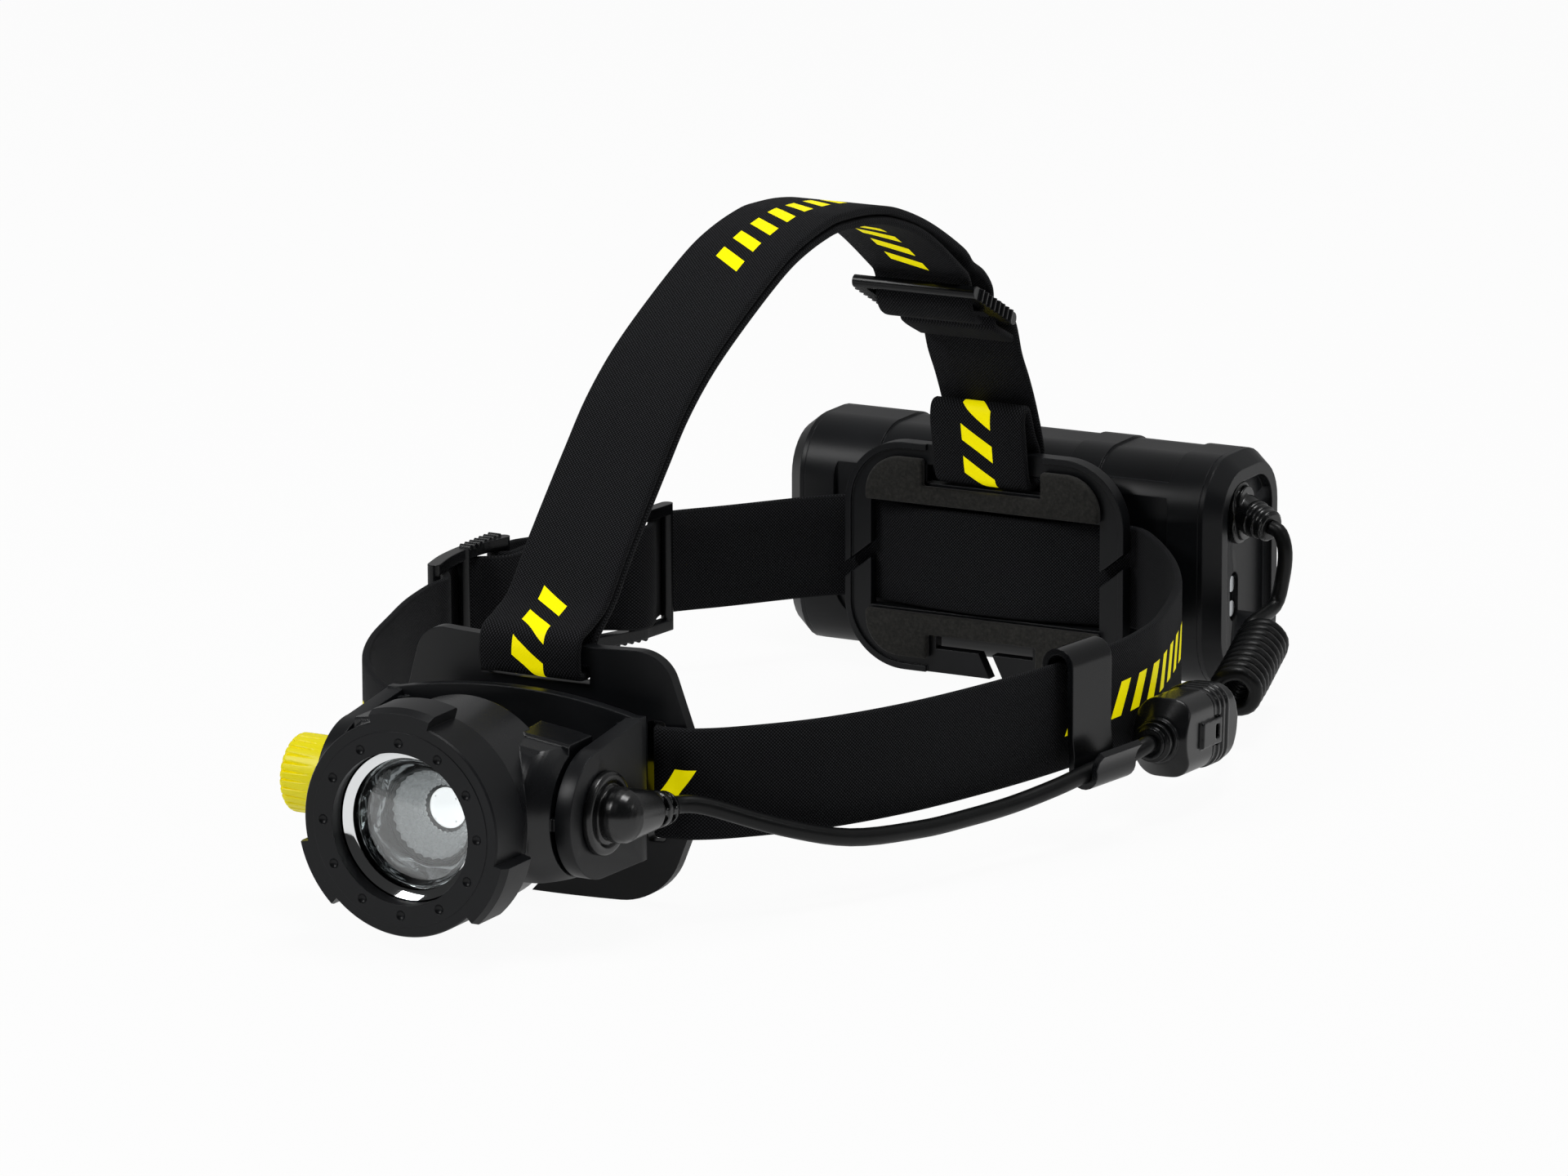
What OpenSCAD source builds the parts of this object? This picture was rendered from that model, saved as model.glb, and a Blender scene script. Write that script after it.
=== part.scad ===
// Strap-on work headlamp: a tilting lamp head with a rotary focus and a side dimmer,
// a 25 mm headband with a crown strap, and a two-cell battery box behind the head.
// Origin: middle of the head opening, half way up the headband.
// +Z is up, the lamp looks along -Y, +X is the wearer's left. Millimetres.

/* [Straps] */
// Width of every strap
strap_w = 25; // [20:1:25]
// Thickness of every strap
strap_t = 2; // [1.5:0.1:2.2]
// Gap between a strap and what it lies on
strap_gap = 0.3; // [0.2:0.1:0.4]
// Half width of the headband's oval, to the middle of the strap
band_half_w = 84; // [78:1:90]

/* [Front plate] */
// Distance from the origin forward to the plate's front face
plate_reach = 111; // [104:1:118]
// Thickness of the plate
plate_t = 3; // [2.4:0.2:3.4]
// Radius that the plate's front face is curved to
plate_bend_r = 125; // [115:5:150]
// Half width across the side wings
plate_half_w = 36.6; // [36:0.2:39]
// Half height of the plate
plate_half_h = 28.6; // [28:0.2:31]
// Middle of the strap slots in the wings, from the middle of the plate
wing_slot_x = 28.5; // [28:0.5:30]
// Width of the strap slots in the wings
wing_slot_w = 4; // [3.6:0.2:4.4]
// Lower edge of the crown strap's slot
crown_slot_z = 20.3; // [19.5:0.1:20.6]
// Height of the crown strap's slot
crown_slot_h = 4.2; // [3.8:0.2:4.4]
// Thickness of the foam pads at the forehead
front_pad_t = 3.5; // [3:0.5:6]

/* [Tilt bracket] */
// Half width of the bracket, over its ears
bracket_half_w = 31.6; // [31.2:0.2:34]
// Thickness of an ear
ear_t = 3.8; // [3:0.2:4]
// Distance from the plate's front face forward to the tilt axis
pivot_reach = 26; // [25:0.5:30]
// Radius of the hub that turns between the ears
hub_r = 14.2; // [13.4:0.2:14.4]
// Radius of the shoulder where the hub meets the barrel
shoulder_r = 18.4; // [17:0.2:19]
// Radius of the hollow trunnions in the ears
trunnion_r = 6; // [5.6:0.1:6.4]
// Running clearance of a turning part, on the radius
run_gap = 0.05; // [0.03:0.01:0.08]
// Gap between the hub's ends and the ears
hub_gap = 1.2; // [0.8:0.1:1.4]
// Thickness of the bracket's back wall
bracket_wall_t = 2.5; // [2:0.1:3]

/* [Lamp head] */
// Radius of the barrel
barrel_r = 22.9; // [22.4:0.1:23.4]
// Distance from the tilt axis forward to the back of the full barrel
shell_back = 1.7; // [1:0.1:3]
// Distance from the tilt axis back to the end of the barrel's narrow tail
rim_back = 6; // [5:0.5:6.5]
// Distance from the tilt axis forward to the back of the focus ring
ring_back = 20; // [19:0.5:22]
// Length of the focus ring
ring_len = 12.1; // [11:0.1:14]
// Radius of the focus ring between its lugs
ring_r = 23.7; // [23.4:0.1:24.5]
// Radius over the focus ring's three lugs
lug_r = 26.2; // [25.6:0.1:27.5]
// Radius of the light opening
opening_r = 16.7; // [15.5:0.1:17]
// Number of round dimples in the front of the ring
dimples = 12; // [8:1:16]
// Inner radius of the barrel, where the lens carrier slides
bore_r = 18.4; // [18.2:0.1:18.6]
// Outer radius of the neck that the focus ring turns on
neck_r = 20.8; // [20.5:0.1:21]
// Travel of the lens carrier
focus_travel = 3; // [2:0.5:3.5]

/* [Dimmer knob] */
// Radius of the knob over its ribs
knob_r = 8.9; // [8.4:0.1:9.6]
// Length of the knob
knob_len = 11; // [10:0.2:13]
// Number of ribs round the knob
knob_ribs = 20; // [14:1:24]
// Travel of the knob when it is pressed
knob_press = 1; // [0.6:0.1:1.2]
// Radius of the knob's shaft
shaft_r = 2.5; // [2:0.1:3]

/* [Rear plate] */
// Distance from the origin back to the rear plate's head side
rear_reach = 106.5; // [100:0.5:112]
// Width of the rear plate
rear_w = 74.4; // [72:0.2:80]
// Height of the rear plate
rear_h = 56; // [55:0.5:60]
// Width of the side bars beside the window
side_bar_w = 6.6; // [5:0.2:8]
// Width of the slanted slits that let a strap in
slit_w = 3.6; // [3:0.2:4]
// Space between the rear plate and the battery case
rear_space = 4.5; // [4.2:0.1:6]
// Thickness of the foam pads at the back of the head
rear_pad_t = 2.5; // [2:0.5:4]

/* [Battery box] */
// Length of the battery case between its end caps
case_len = 105.4; // [100:1:112]
// Depth of the battery box
case_d = 37; // [36:0.5:40]
// Height of the battery box
case_h = 56; // [55:0.5:60]
// Corner radius of the battery box
case_r = 14; // [12:0.5:16]
// Wall of the battery case
case_wall = 3.5; // [3.2:0.1:3.8]
// Length of an end cap outside the case
cap_len = 5; // [4.5:0.5:6]
// How far the end caps taper in
cap_taper = 3; // [2.4:0.2:3.4]
// Radius of a battery cell
cell_r = 10.6; // [10:0.1:10.8]
// Length of a battery cell
cell_len = 70; // [65:1:72]

/* [Cable] */
// Diameter of the lamp cable
cable_d = 4; // [3.6:0.1:4.4]
// Diameter of the curly lead
curl_d = 3.6; // [3.2:0.1:3.9]
// Outer diameter of the curls
curl_od = 13; // [12:0.5:14]

/* [Hidden] */
$fn = 64;
hull_fn = 32;

// Radius of the swept cable's sides and the number of its sides
cable_sides = 8;
// Thickness of the rim round the rear plate and of its bars
rear_t = 3;
// Colours of the real materials
plate_black = "#2b2c2e";
strap_black = "#232427";
signal_yellow = "#f5ea00";
steel = "#b8bcc0";
foam_grey = "#46474a";
board_green = "#1f6b3a";
copper_gold = "#c9a24a";
seal_black = "#18191a";

// Places worked out from the driving sizes
plate_y = -plate_reach;
plate_back = plate_y + plate_t;
pivot_y = plate_y - pivot_reach;
ring_y = pivot_y - ring_back;
ring_front = ring_y - ring_len;
rim_y = pivot_y + rim_back;
shell_end = pivot_y - shell_back;
ear_in = bracket_half_w - ear_t;
hub_end = ear_in - hub_gap;
wall_front = plate_y - 9.3;
wall_reach = wall_front - pivot_y;
boss_face = plate_y - 1;
band_shift = band_half_w - 84;
strap_half = strap_w / 2;
layer = strap_t + strap_gap;
strap_mid = strap_t / 2;
rear_back = rear_reach + rear_t;
case_y = rear_back + rear_space;
case_mid = case_y + case_d / 2;
half_case = case_len / 2;
cap_end = half_case + cap_len;
window_z = strap_half + 0.5;
rear_slot_x = strap_half + 2.9;
rear_slot_z = rear_h / 2 - 9.5;
rear_slot_h = 4.5;
fit = 0.05;

// ---------- helpers ----------

module along_x(x0, x1) {
    translate([x0, 0, 0]) rotate([90, 0, 90]) linear_extrude(x1 - x0) children();
}

module along_y(y0, y1) {
    translate([0, y1, 0]) rotate([90, 0, 0]) linear_extrude(y1 - y0) children();
}

module along_z(z0, z1) {
    translate([0, 0, z0]) linear_extrude(z1 - z0) children();
}

module rod_x(x0, x1, r) {
    translate([x0, 0, 0]) rotate([0, 90, 0]) cylinder(h = x1 - x0, r = r);
}

module rod_y(y0, y1, r) {
    translate([0, y0, 0]) rotate([-90, 0, 0]) cylinder(h = y1 - y0, r = r);
}

// A turned piece on the Y axis, from a profile of [radius, y] points
module turned_y(profile) {
    rotate([-90, 0, 0]) rotate_extrude() polygon(profile);
}

// A turned piece on the X axis, from a profile of [radius, x] points
module turned_x(profile) {
    rotate([0, 90, 0]) rotate_extrude() polygon(profile);
}

module mirrored_x() {
    children();
    mirror([1, 0, 0]) children();
}

module rounded_rect(w, h, r) {
    square([w, h - 2 * r], center = true);
    square([w - 2 * r, h], center = true);
    for (x = [-1, 1], y = [-1, 1])
        translate([x * (w / 2 - r), y * (h / 2 - r)]) circle(r);
}

// Points of an arc from angle a0 to a1
function arc(c, r, a0, a1, n = 8) =
    [for (i = [0:n]) let (a = a0 + (a1 - a0) * i / n) c + r * [cos(a), sin(a)]];

// Catmull-Rom point between b and c
function curve_at(a, b, c, d, t) =
    0.5 * (2 * b + (c - a) * t + (2 * a - 5 * b + 4 * c - d) * t * t
        + (3 * b - a - 3 * c + d) * t * t * t);

// A smooth route through the points, with n steps between each pair
function smooth(p, n = 4) = let (m = len(p) - 1) concat(
    [for (i = [0:m - 1], k = [0:n - 1]) curve_at(p[max(i - 1, 0)], p[i], p[i + 1],
        p[min(i + 2, m)], k / n)],
    [p[m]]);

function unit(v) = v / norm(v);

// The route moved sideways by d, to the left of its direction
function beside(p, d) = let (m = len(p) - 1)
    [for (i = [0:m]) let (t = unit(p[min(i + 1, m)] - p[max(i - 1, 0)])) p[i] + d * [-t[1], t[0]]];

// Section of a strap that runs along a flat route
module strap_section(route, t = strap_t) {
    polygon(concat(beside(route, t / 2), [for (p = [for (i = [len(route) - 1:-1:0])
        beside(route, -t / 2)[i]]) p]));
}

// A round cable swept along its route, turning with the route and not twisting
function frames(p, i, side) = i >= len(p) ? [] :
    let (t = unit(p[min(i + 1, len(p) - 1)] - p[max(i - 1, 0)]), s = unit(side - (side * t) * t))
    concat([[s, cross(t, s)]], frames(p, i + 1, s));

module cable(points, d, steps = 4, sides = cable_sides, start = [0.3, 0.2, 1]) {
    route = smooth(points, steps);
    f = frames(route, 0, start);
    n = len(route);
    ring = [for (k = [0:sides - 1]) 360 * (k + 0.5) / sides];
    skin = [for (i = [0:n - 1]) for (a = ring) route[i] + d / 2 * (cos(a) * f[i][0] + sin(a) * f[i][1])];
    walls = [for (i = [0:n - 2]) for (k = [0:sides - 1]) let (j = (k + 1) % sides)
        [i * sides + k, (i + 1) * sides + k, (i + 1) * sides + j, i * sides + j]];
    ends = [[for (k = [0:sides - 1]) k], [for (k = [sides - 1:-1:0]) (n - 1) * sides + k]];
    polyhedron(skin, concat(walls, ends), convexity = 8);
}

// ---------- front plate ----------

// The space of a curved sheet whose front face is the plate's, from depth d0 to d1 behind it
module curved_sheet(d0, d1) {
    translate([0, plate_y + plate_bend_r, 0]) difference() {
        cylinder(h = 100, r = plate_bend_r - d0, center = true, $fn = 128);
        cylinder(h = 101, r = plate_bend_r - d1, center = true, $fn = 128);
    }
}

// Half of the plate's outline: a tight upper corner, a wide lower one and a bulging side
function half_outline() = concat(
    arc([plate_half_w - 16.3, 14.7 - plate_half_h], 13.6, -90, -19, 12),
    arc([plate_half_w - 8.2, -7.2], 8.2, -19, 0, 3),
    arc([plate_half_w - 8.2, 6], 8.2, 0, 17, 3),
    arc([plate_half_w - 13, plate_half_h - 8.7], 8.7, 17, 90, 12));

module front_outline() {
    half = half_outline();
    polygon(concat(half, [for (i = [len(half) - 1:-1:0]) [-half[i][0], half[i][1]]]));
}

// A closed slot in the bar below, with a slit that leans sideways and lets a strap in
module open_slot(half_w, top_z, h, low_z, slant, lean) {
    translate([-half_w, top_z - h]) square([2 * half_w, h]);
    run = lean * (top_z - h - low_z + 2);
    polygon([[slant, top_z - h + 1], [slant + slit_w, top_z - h + 1],
        [slant + slit_w + run, low_z - 1], [slant + run, low_z - 1]]);
}

module front_openings() {
    translate([-strap_half - 1, crown_slot_z]) square([strap_w + 2, crown_slot_h]);
    for (s = [-1, 1])
        translate([s * wing_slot_x, -0.2]) rounded_rect(wing_slot_w, strap_w + 2, 1);
    open_slot(strap_half + 0.5, -19.2, 4, -plate_half_h, 0.2, -0.9);
}

boss_w = 30;
boss_h = 25;
bracket_screw_x = 10;

module front_plate() {
    color(plate_black) difference() {
        union() {
            intersection() {
                along_y(plate_y - 1, plate_back + 9) difference() {
                    front_outline();
                    front_openings();
                }
                curved_sheet(0, plate_t);
            }
            along_y(boss_face, plate_y + 1.5) rounded_rect(boss_w + 2, boss_h + 2, 4);
        }
        for (s = [-1, 1]) translate([s * bracket_screw_x, 0, 0]) {
            rod_y(boss_face - 1, plate_back + 1, 1.5 + fit);
            rod_y(plate_back - 1.8, plate_back + 1, 2.9);
        }
    }
}

module bracket_screws() {
    color(steel) for (s = [-1, 1]) translate([s * bracket_screw_x, 0, 0]) {
        rod_y(boss_face - 6, plate_back - 1.8, 1.5);
        difference() {
            rod_y(plate_back - 1.8, plate_back - 0.2, 2.8);
            translate([0, plate_back - 1.1, 0]) rotate([-90, 0, 0]) cylinder(h = 2, r = 1.2, $fn = 6);
        }
    }
}

// Foam pads on the head side of the front plate, one above and one below the headband
module forehead_pad(z0, z1) {
    color(foam_grey) intersection() {
        along_y(plate_y, plate_back + 14) difference() {
            translate([0, (z0 + z1) / 2]) rounded_rect(52, z1 - z0, 3);
            translate([-strap_half - 1.6, crown_slot_z - 0.6]) square([strap_w + 3.2, 20]);
            translate([-strap_half - 1, -43]) square([strap_w + 2, 24]);
        }
        curved_sheet(plate_t, plate_t + front_pad_t);
    }
}

module forehead_pad_upper() forehead_pad(strap_half + 0.8, crown_slot_z + 4);

module forehead_pad_lower() forehead_pad(-crown_slot_z - 4, -strap_half - 0.8);

// ---------- tilt bracket ----------

module ear_outline(r) {
    translate([pivot_y, 0]) circle(r);
    polygon([[pivot_y, r], [wall_front + bracket_wall_t, r + 2.6],
        [wall_front + bracket_wall_t, -r - 0.6], [pivot_y, -r]]);
}

module tilt_bracket() {
    ear_r = 14.4;
    wall_back = wall_front + bracket_wall_t;
    arch_rise = 3.4;
    chord = bracket_half_w - 2;
    arch_r = (chord * chord + arch_rise * arch_rise) / (2 * arch_rise);
    top_z = ear_r + 2.6;
    color(plate_black) difference() {
        union() {
            mirrored_x() along_x(ear_in, bracket_half_w) ear_outline(ear_r);
            along_y(wall_front, wall_back) {
                translate([-bracket_half_w, -ear_r - 0.6]) square([2 * bracket_half_w, top_z + ear_r + 0.6]);
                intersection() {
                    translate([0, top_z + arch_rise - arch_r]) circle(arch_r, $fn = 128);
                    translate([-chord, top_z - 1]) square([2 * chord, arch_rise + 2]);
                }
            }
            along_y(wall_front + 1, boss_face) rounded_rect(boss_w, boss_h, 3);
            mirrored_x() along_z(-ear_r + 1, ear_r + 1) polygon([[ear_in + 0.1, wall_front + 0.1],
                [ear_in + 0.1, wall_front - 2.2], [ear_in - 2.2, wall_front + 0.1]]);
        }
        translate([0, pivot_y, 0]) rod_x(-bracket_half_w - 1, bracket_half_w + 1, trunnion_r + run_gap);
        for (s = [-1, 1]) translate([s * bracket_screw_x, 0, 0])
            rod_y(boss_face - 6.5, boss_face + 1, 1.5 + fit);
    }
}

// ---------- lamp head ----------

neck_end = ring_front + 5.6;
cavity_back = pivot_y - 10.5;
tail_r = bore_r - 0.2;
ledge_slope = 8;
ledge_h = shoulder_r + 0.7;
sink_r = bore_r - 2;

// Hub that flares into a shoulder in front, with a stop pad on each end beside the ears
module hub_shell() {
    flare = smooth([[shoulder_r + 0.1, 14], [shoulder_r, 18.6], [shoulder_r - 0.5, 22],
        [shoulder_r - 2.3, hub_end - 1.9], [hub_r + 0.3, hub_end]], 4);
    translate([0, pivot_y, 0]) mirrored_x() {
        rod_x(tail_r - 3, hub_end, hub_r);
        // Shoulder with a flat underside, and a ledge on top that slopes down to the ear
        intersection() {
            union() {
                intersection() {
                    turned_x(concat([[0, 14]], flare, [[0, hub_end]]));
                    rotate([0, ledge_slope, 0]) along_x(0, 50) polygon([[-shoulder_r - 1, -50],
                        [-shoulder_r - 1, 12], [-10, ledge_h - 1.4], [-5.6, ledge_h - 0.7],
                        [4.4, ledge_h], [4.4, -50]]);
                }
                rotate([0, ledge_slope, 0]) along_x(12, 50) polygon([[-5.8, 8], [-5.8, ledge_h - 0.5],
                    [-5.3, ledge_h], [4, ledge_h], [4.4, ledge_h - 0.4], [4.4, 8]]);
            }
            translate([0, -30, -hub_r]) cube([hub_end, 60, 60]);
        }
        rod_x(hub_end - 1, bracket_half_w - 0.1, trunnion_r);
        translate([hub_end - 1, -hub_r, -1.3]) cube([hub_gap + 0.85, 1.7, 2.6]);
    }
}

module lamp_housing() {
    rear_wall = 2;
    color(plate_black) difference() {
        union() {
            turned_y([[0, ring_y + fit], [barrel_r, ring_y + fit], [barrel_r, shell_end - 0.8],
                [barrel_r - 0.8, shell_end], [tail_r + 0.2, shell_end], [tail_r, rim_y - 2.2],
                [tail_r - 1.6, rim_y], [0, rim_y]]);
            rod_y(neck_end, ring_y + 1, neck_r);
            hub_shell();
        }
        rod_y(neck_end - 1, cavity_back, bore_r);
        rod_y(cavity_back - 1, rim_y - rear_wall, sink_r);
        rod_y(rim_y - rear_wall - 1, rim_y + 1, 15 + fit);
        // Seal groove round the neck
        translate([0, ring_y - 2.4, 0]) difference() {
            rod_y(0, 1.3, neck_r + 1);
            rod_y(-1, 3, neck_r - 0.9);
        }
        // Bores through the trunnions, for the knob's bushing and for the cable
        translate([0, pivot_y, 0]) {
            rod_x(-bracket_half_w - 1, -12, 4.2 + fit);
            rod_x(12, bracket_half_w + 1, cable_d / 2 + 0.2);
        }
    }
}

module rear_cover() {
    color(plate_black) difference() {
        rod_y(rim_y - 2.6, rim_y - 0.4, 15);
        for (a = [45:90:315]) rotate([0, a, 0]) translate([10.5, 0, 0]) rod_y(rim_y - 3.4, rim_y, 1.05);
    }
}

// Finned cooler that fills the back of the barrel
module heat_sink() {
    fins = 5;
    front = cavity_back + 0.1;
    back = rim_y - 4.2;
    color(steel) difference() {
        rod_y(front, back, sink_r - fit);
        for (i = [0:fins - 1]) translate([-13 + 26 / (fins - 1) * i - 1, front + 5, -20]) cube([2, 20, 40]);
        translate([0, pivot_y, 0]) rod_x(-40, -9, 6.8);
        translate([0, pivot_y, 0]) rod_x(9, 40, 4);
    }
}

module led_module() {
    board = cavity_back + 0.1;
    color("#e8e6dc") {
        rod_y(board - 1.6, board, 10);
        translate([-2.5, board - 2.6, -2.5]) cube([5, 1, 5]);
    }
    color(signal_yellow) translate([-1.7, board - 2.9, -1.7]) cube([3.4, 0.3, 3.4]);
}

module ring_seal() {
    y = ring_y - 1.75;
    color(seal_black) rotate([-90, 0, 0]) rotate_extrude()
        translate([neck_r - 0.42, y]) circle(0.44, $fn = 24);
}

module focus_ring() {
    lug_half = 17;
    front = ring_front;
    color(plate_black) difference() {
        union() {
            turned_y([[opening_r, front], [21.3, front], [21.3, front + 0.15], [ring_r - 0.3, front + 0.15],
                [ring_r, front + 0.6], [ring_r, ring_y - 0.4], [ring_r - 0.4, ring_y], [opening_r, ring_y]]);
            for (a = [0, 120, 240]) rotate([0, a, 0]) rotate([-90, 0, 0])
                rotate([0, 0, -90 - lug_half]) rotate_extrude(angle = 2 * lug_half)
                    polygon([[21.5, front + 0.15], [lug_r - 0.9, front + 0.15], [lug_r, front + 2.2],
                        [lug_r, ring_y - 0.6], [lug_r - 0.6, ring_y], [21.5, ring_y]]);
        }
        rod_y(neck_end - 0.4, ring_y + 1, neck_r + run_gap);
        rod_y(front - 1, neck_end + 1, opening_r);
        rod_y(neck_end - 2, neck_end + 1, opening_r + 1.2);
        for (i = [0:dimples - 1]) rotate([0, 360 / dimples * i, 0])
            translate([0, front - 0.55, 18.9]) sphere(r = 1.25, $fn = 24);
    }
}

// Bright ring inside the light opening, which holds the window
module lens_trim_ring() {
    y = ring_front;
    color("#e9ecef") turned_y([[14.9, y + 2.6], [16.5, y + 0.7], [opening_r - fit, y + 0.7],
        [opening_r - fit, y + 3.7], [opening_r + 1.1, y + 3.7], [opening_r + 1.1, y + 5.1],
        [14.2, y + 5.1], [14.2, y + 4.1], [14.9, y + 4.1]]);
}

module front_window() {
    dome = 42;
    y = ring_front + 2.7;
    edge_r = 14.9 - fit;
    color("#dfe8ee") turned_y(concat(arc([0, y - 1.9 + dome], dome, -90, asin(edge_r / dome) - 90, 6),
        [[edge_r, y + 1.4], [0, y + 1.4]]));
}

// Sleeve that the focus ring draws along the barrel, with the optic in it
carrier_front = neck_end + 0.5;
carrier_back = cavity_back - 1.8 - focus_travel - 0.3;

module lens_carrier() {
    color("#303235") difference() {
        rod_y(carrier_front, carrier_back, bore_r - run_gap);
        rod_y(carrier_front - 1, carrier_front + 2.4, 16.4);
        rod_y(carrier_front - 1, carrier_back + 1, 14.2);
    }
}

module focus_optic() {
    front = carrier_front + 0.4;
    led_hole = 5.4;
    color("#f2f6f8") difference() {
        union() {
            rod_y(front, front + 1.9, 16.3);
            intersection() {
                rod_y(front - 3, front + 4, 14);
                translate([0, front + 13.5, 0]) sphere(r = 15.4, $fn = 96);
            }
            turned_y([[0, front + 1], [14, front + 1], [12.6, front + 4], [8.6, carrier_back - 0.6],
                [0, carrier_back - 0.6]]);
        }
        rod_y(carrier_back - 3.6, carrier_back + 1, led_hole);
    }
}

module driver_board() {
    y = rim_y - 3.9;
    color(board_green) rod_y(y, y + 0.8, 8.8);
}

// Fixed switch body inside the hub; the knob's shaft runs in it
module rotary_switch() {
    color("#3a3d40") translate([0, pivot_y, 0]) difference() {
        union() {
            translate([-13.9, -4.4, -5]) cube([4.7, 7.4, 10]);
            rod_x(-17, -13.9, 3);
        }
        rod_x(-18, -10.4, shaft_r + run_gap);
    }
}

// Bushing pressed in the hollow trunnion, with a flange that hides the ear's bore
knob_in = -bracket_half_w - 1.7;

module knob_bushing() {
    color(seal_black) translate([0, pivot_y, 0]) difference() {
        union() {
            rod_x(-bracket_half_w - 0.1, -hub_end + 6, 4.2);
            rod_x(-bracket_half_w - 1.3, -bracket_half_w - 0.3, 7.2);
            rod_x(-bracket_half_w - 0.4, -bracket_half_w, 4.2);
        }
        rod_x(-bracket_half_w - 2, -hub_end + 7, shaft_r + run_gap);
    }
}

// Plunger of the switch, which the shaft pushes in
plunger_end = -10.6 - knob_press;
plunger_t = 1.4;

module switch_plunger() {
    color(copper_gold) translate([0, pivot_y, 0]) rod_x(plunger_end - plunger_t, plunger_end, shaft_r);
}

module knob_shaft() {
    color(steel) translate([0, pivot_y, 0]) rod_x(knob_in - 7, plunger_end - plunger_t - 0.05, shaft_r);
}

module dimmer_knob() {
    end = knob_in - knob_len;
    body_r = knob_r - 0.45;
    color(signal_yellow) translate([0, pivot_y, 0]) difference() {
        union() {
            turned_x([[0, end + 0.9], [3.6, end + 0.6], [6.4, end], [body_r - 1.2, end], [body_r, end + 1.2],
                [body_r, knob_in], [0, knob_in]]);
            along_x(end + 2.2, knob_in) for (i = [0:knob_ribs - 1]) rotate(360 / knob_ribs * i)
                polygon([[-0.7, body_r - 1.5], [-0.7, body_r - 0.1], [-0.35, knob_r], [0.35, knob_r],
                    [0.7, body_r - 0.1], [0.7, body_r - 1.5]]);
        }
        rod_x(knob_in - 1.8, knob_in + 1, 7.7);
        rod_x(knob_in - 7, knob_in + 1, shaft_r + fit);
    }
}

// ---------- cables and their fittings ----------

// Routes of the cables, by hand; what lies beside the headband moves out with it
function beside_band(route) =
    [for (p = route) p + [band_shift * min(1, max(0, (p[0] - 72) / 10)), 0, 0]];
lamp_route = beside_band([[38.2, -120.4, -1.9], [38.9, -117, -2], [43, -112, -3], [55, -100, -9],
    [64.5, -86, -13.5], [72.3, -68, -15], [77, -55, -15], [81.5, -42, -14.5], [86.4, -30, -12.8],
    [89.1, -20, -11.5], [90.2, -12.5, -11.2], [91.5, -5, -10.9], [93.6, 1, -9.4], [93.5, 3, -9.5]]);
curly_route = beside_band([[70, 115, -12], [74, 101, -13], [78, 87, -14], [82, 72, -15]]);
plug_route = beside_band([[82, 72, -15], [82.5, 70.1, -15.1], [83.6, 65.5, -17], [86.5, 59, -18],
    [89.5, 53.5, -15.2], [90.9, 49, -12.6], [91, 47, -12.5]]);
battery_route = [[66, 127, 12], [67.9, 126.6, 11.6], [70, 126.3, 7], [69.4, 126, 0], [68, 124.5, -6.5],
    [68.6, 120.4, -10.6], [69.5, 116.9, -11.9], [70, 115, -12]];

module lamp_strain_relief() {
    ball_r = 6.1;
    tip_r = 3;
    ball = [bracket_half_w + 4.2, pivot_y, 0];
    mouth = lamp_route[0];
    d = mouth - ball;
    len = norm(d);
    turn = atan2(-d[0], d[1]);
    lift = asin(d[2] / len);
    base = concat([[0, bracket_half_w], [9.2, bracket_half_w]],
        arc([8.2, bracket_half_w + 1], 1, 0, 90, 4),
        [[7.4, bracket_half_w + 2], [6.6, bracket_half_w + 1.6]]);
    color(seal_black) {
        translate([0, pivot_y, 0]) turned_x(concat(base, arc([0, ball[0]], ball_r, -22, 90)));
        difference() {
            translate(ball) rotate([lift, 0, turn]) difference() {
                turned_y([[0, 0], [ball_r - 0.3, 0], [tip_r + 0.1, len - 0.6], [tip_r - 0.5, len], [0, len]]);
                // Two slots above the middle and two below, on each side of a core round the cable
                for (y = [len - 6.6, len - 3.2], s = [-1, 1], k = [-1, 1])
                    translate([k > 0 ? 2.2 : -8.2, y, s > 0 ? 0.7 : -6.7]) cube([6, 1.8, 6]);
            }
            // The cone ends inside the base ring, clear of the ear
            translate([bracket_half_w - 19.5, pivot_y - 20, -20]) cube([20, 40, 40]);
        }
    }
}

module lamp_cable() color(seal_black) cable(lamp_route, cable_d, 3);

module plug_lead() color(seal_black) cable(plug_route, curl_d, 2);

module battery_lead() color(seal_black) cable(battery_route, curl_d, 2);

module curly_cable() color(seal_black) cable(curly_route, curl_od, 3, 12);

// The connector's own frame: +Y along the cable, from the lamp to the battery
plug_start = lamp_route[len(lamp_route) - 1];
plug_end = plug_route[len(plug_route) - 1];
plug_line = plug_end - plug_start;
plug_len = norm(plug_line);
plug_w = 13;
plug_h = 18;

module on_connector() {
    translate(plug_start)
        rotate([asin(plug_line[2] / plug_len), 0, atan2(-plug_line[0], plug_line[1])]) children();
}

// Half of the connector, from a collar at y = 0 to its open face at y = len
module connector_half(len) {
    shoulder = 6;
    turned_y([[0, 0], [3.6, 0], [3.6, 1.6], [4.6, 1.6], [4.6, 3], [3.8, 3], [3.8, 4.2], [5, 4.2],
        [5, 5.6], [0, 5.6]]);
    intersection() {
        along_y(5.6, len) rounded_rect(plug_w, plug_h, 4.5);
        turned_y([[0, 5.6], [5.4, 5.6], [5.4 + shoulder, 5.6 + shoulder], [5.4 + shoulder, len], [0, len]]);
    }
}

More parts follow.
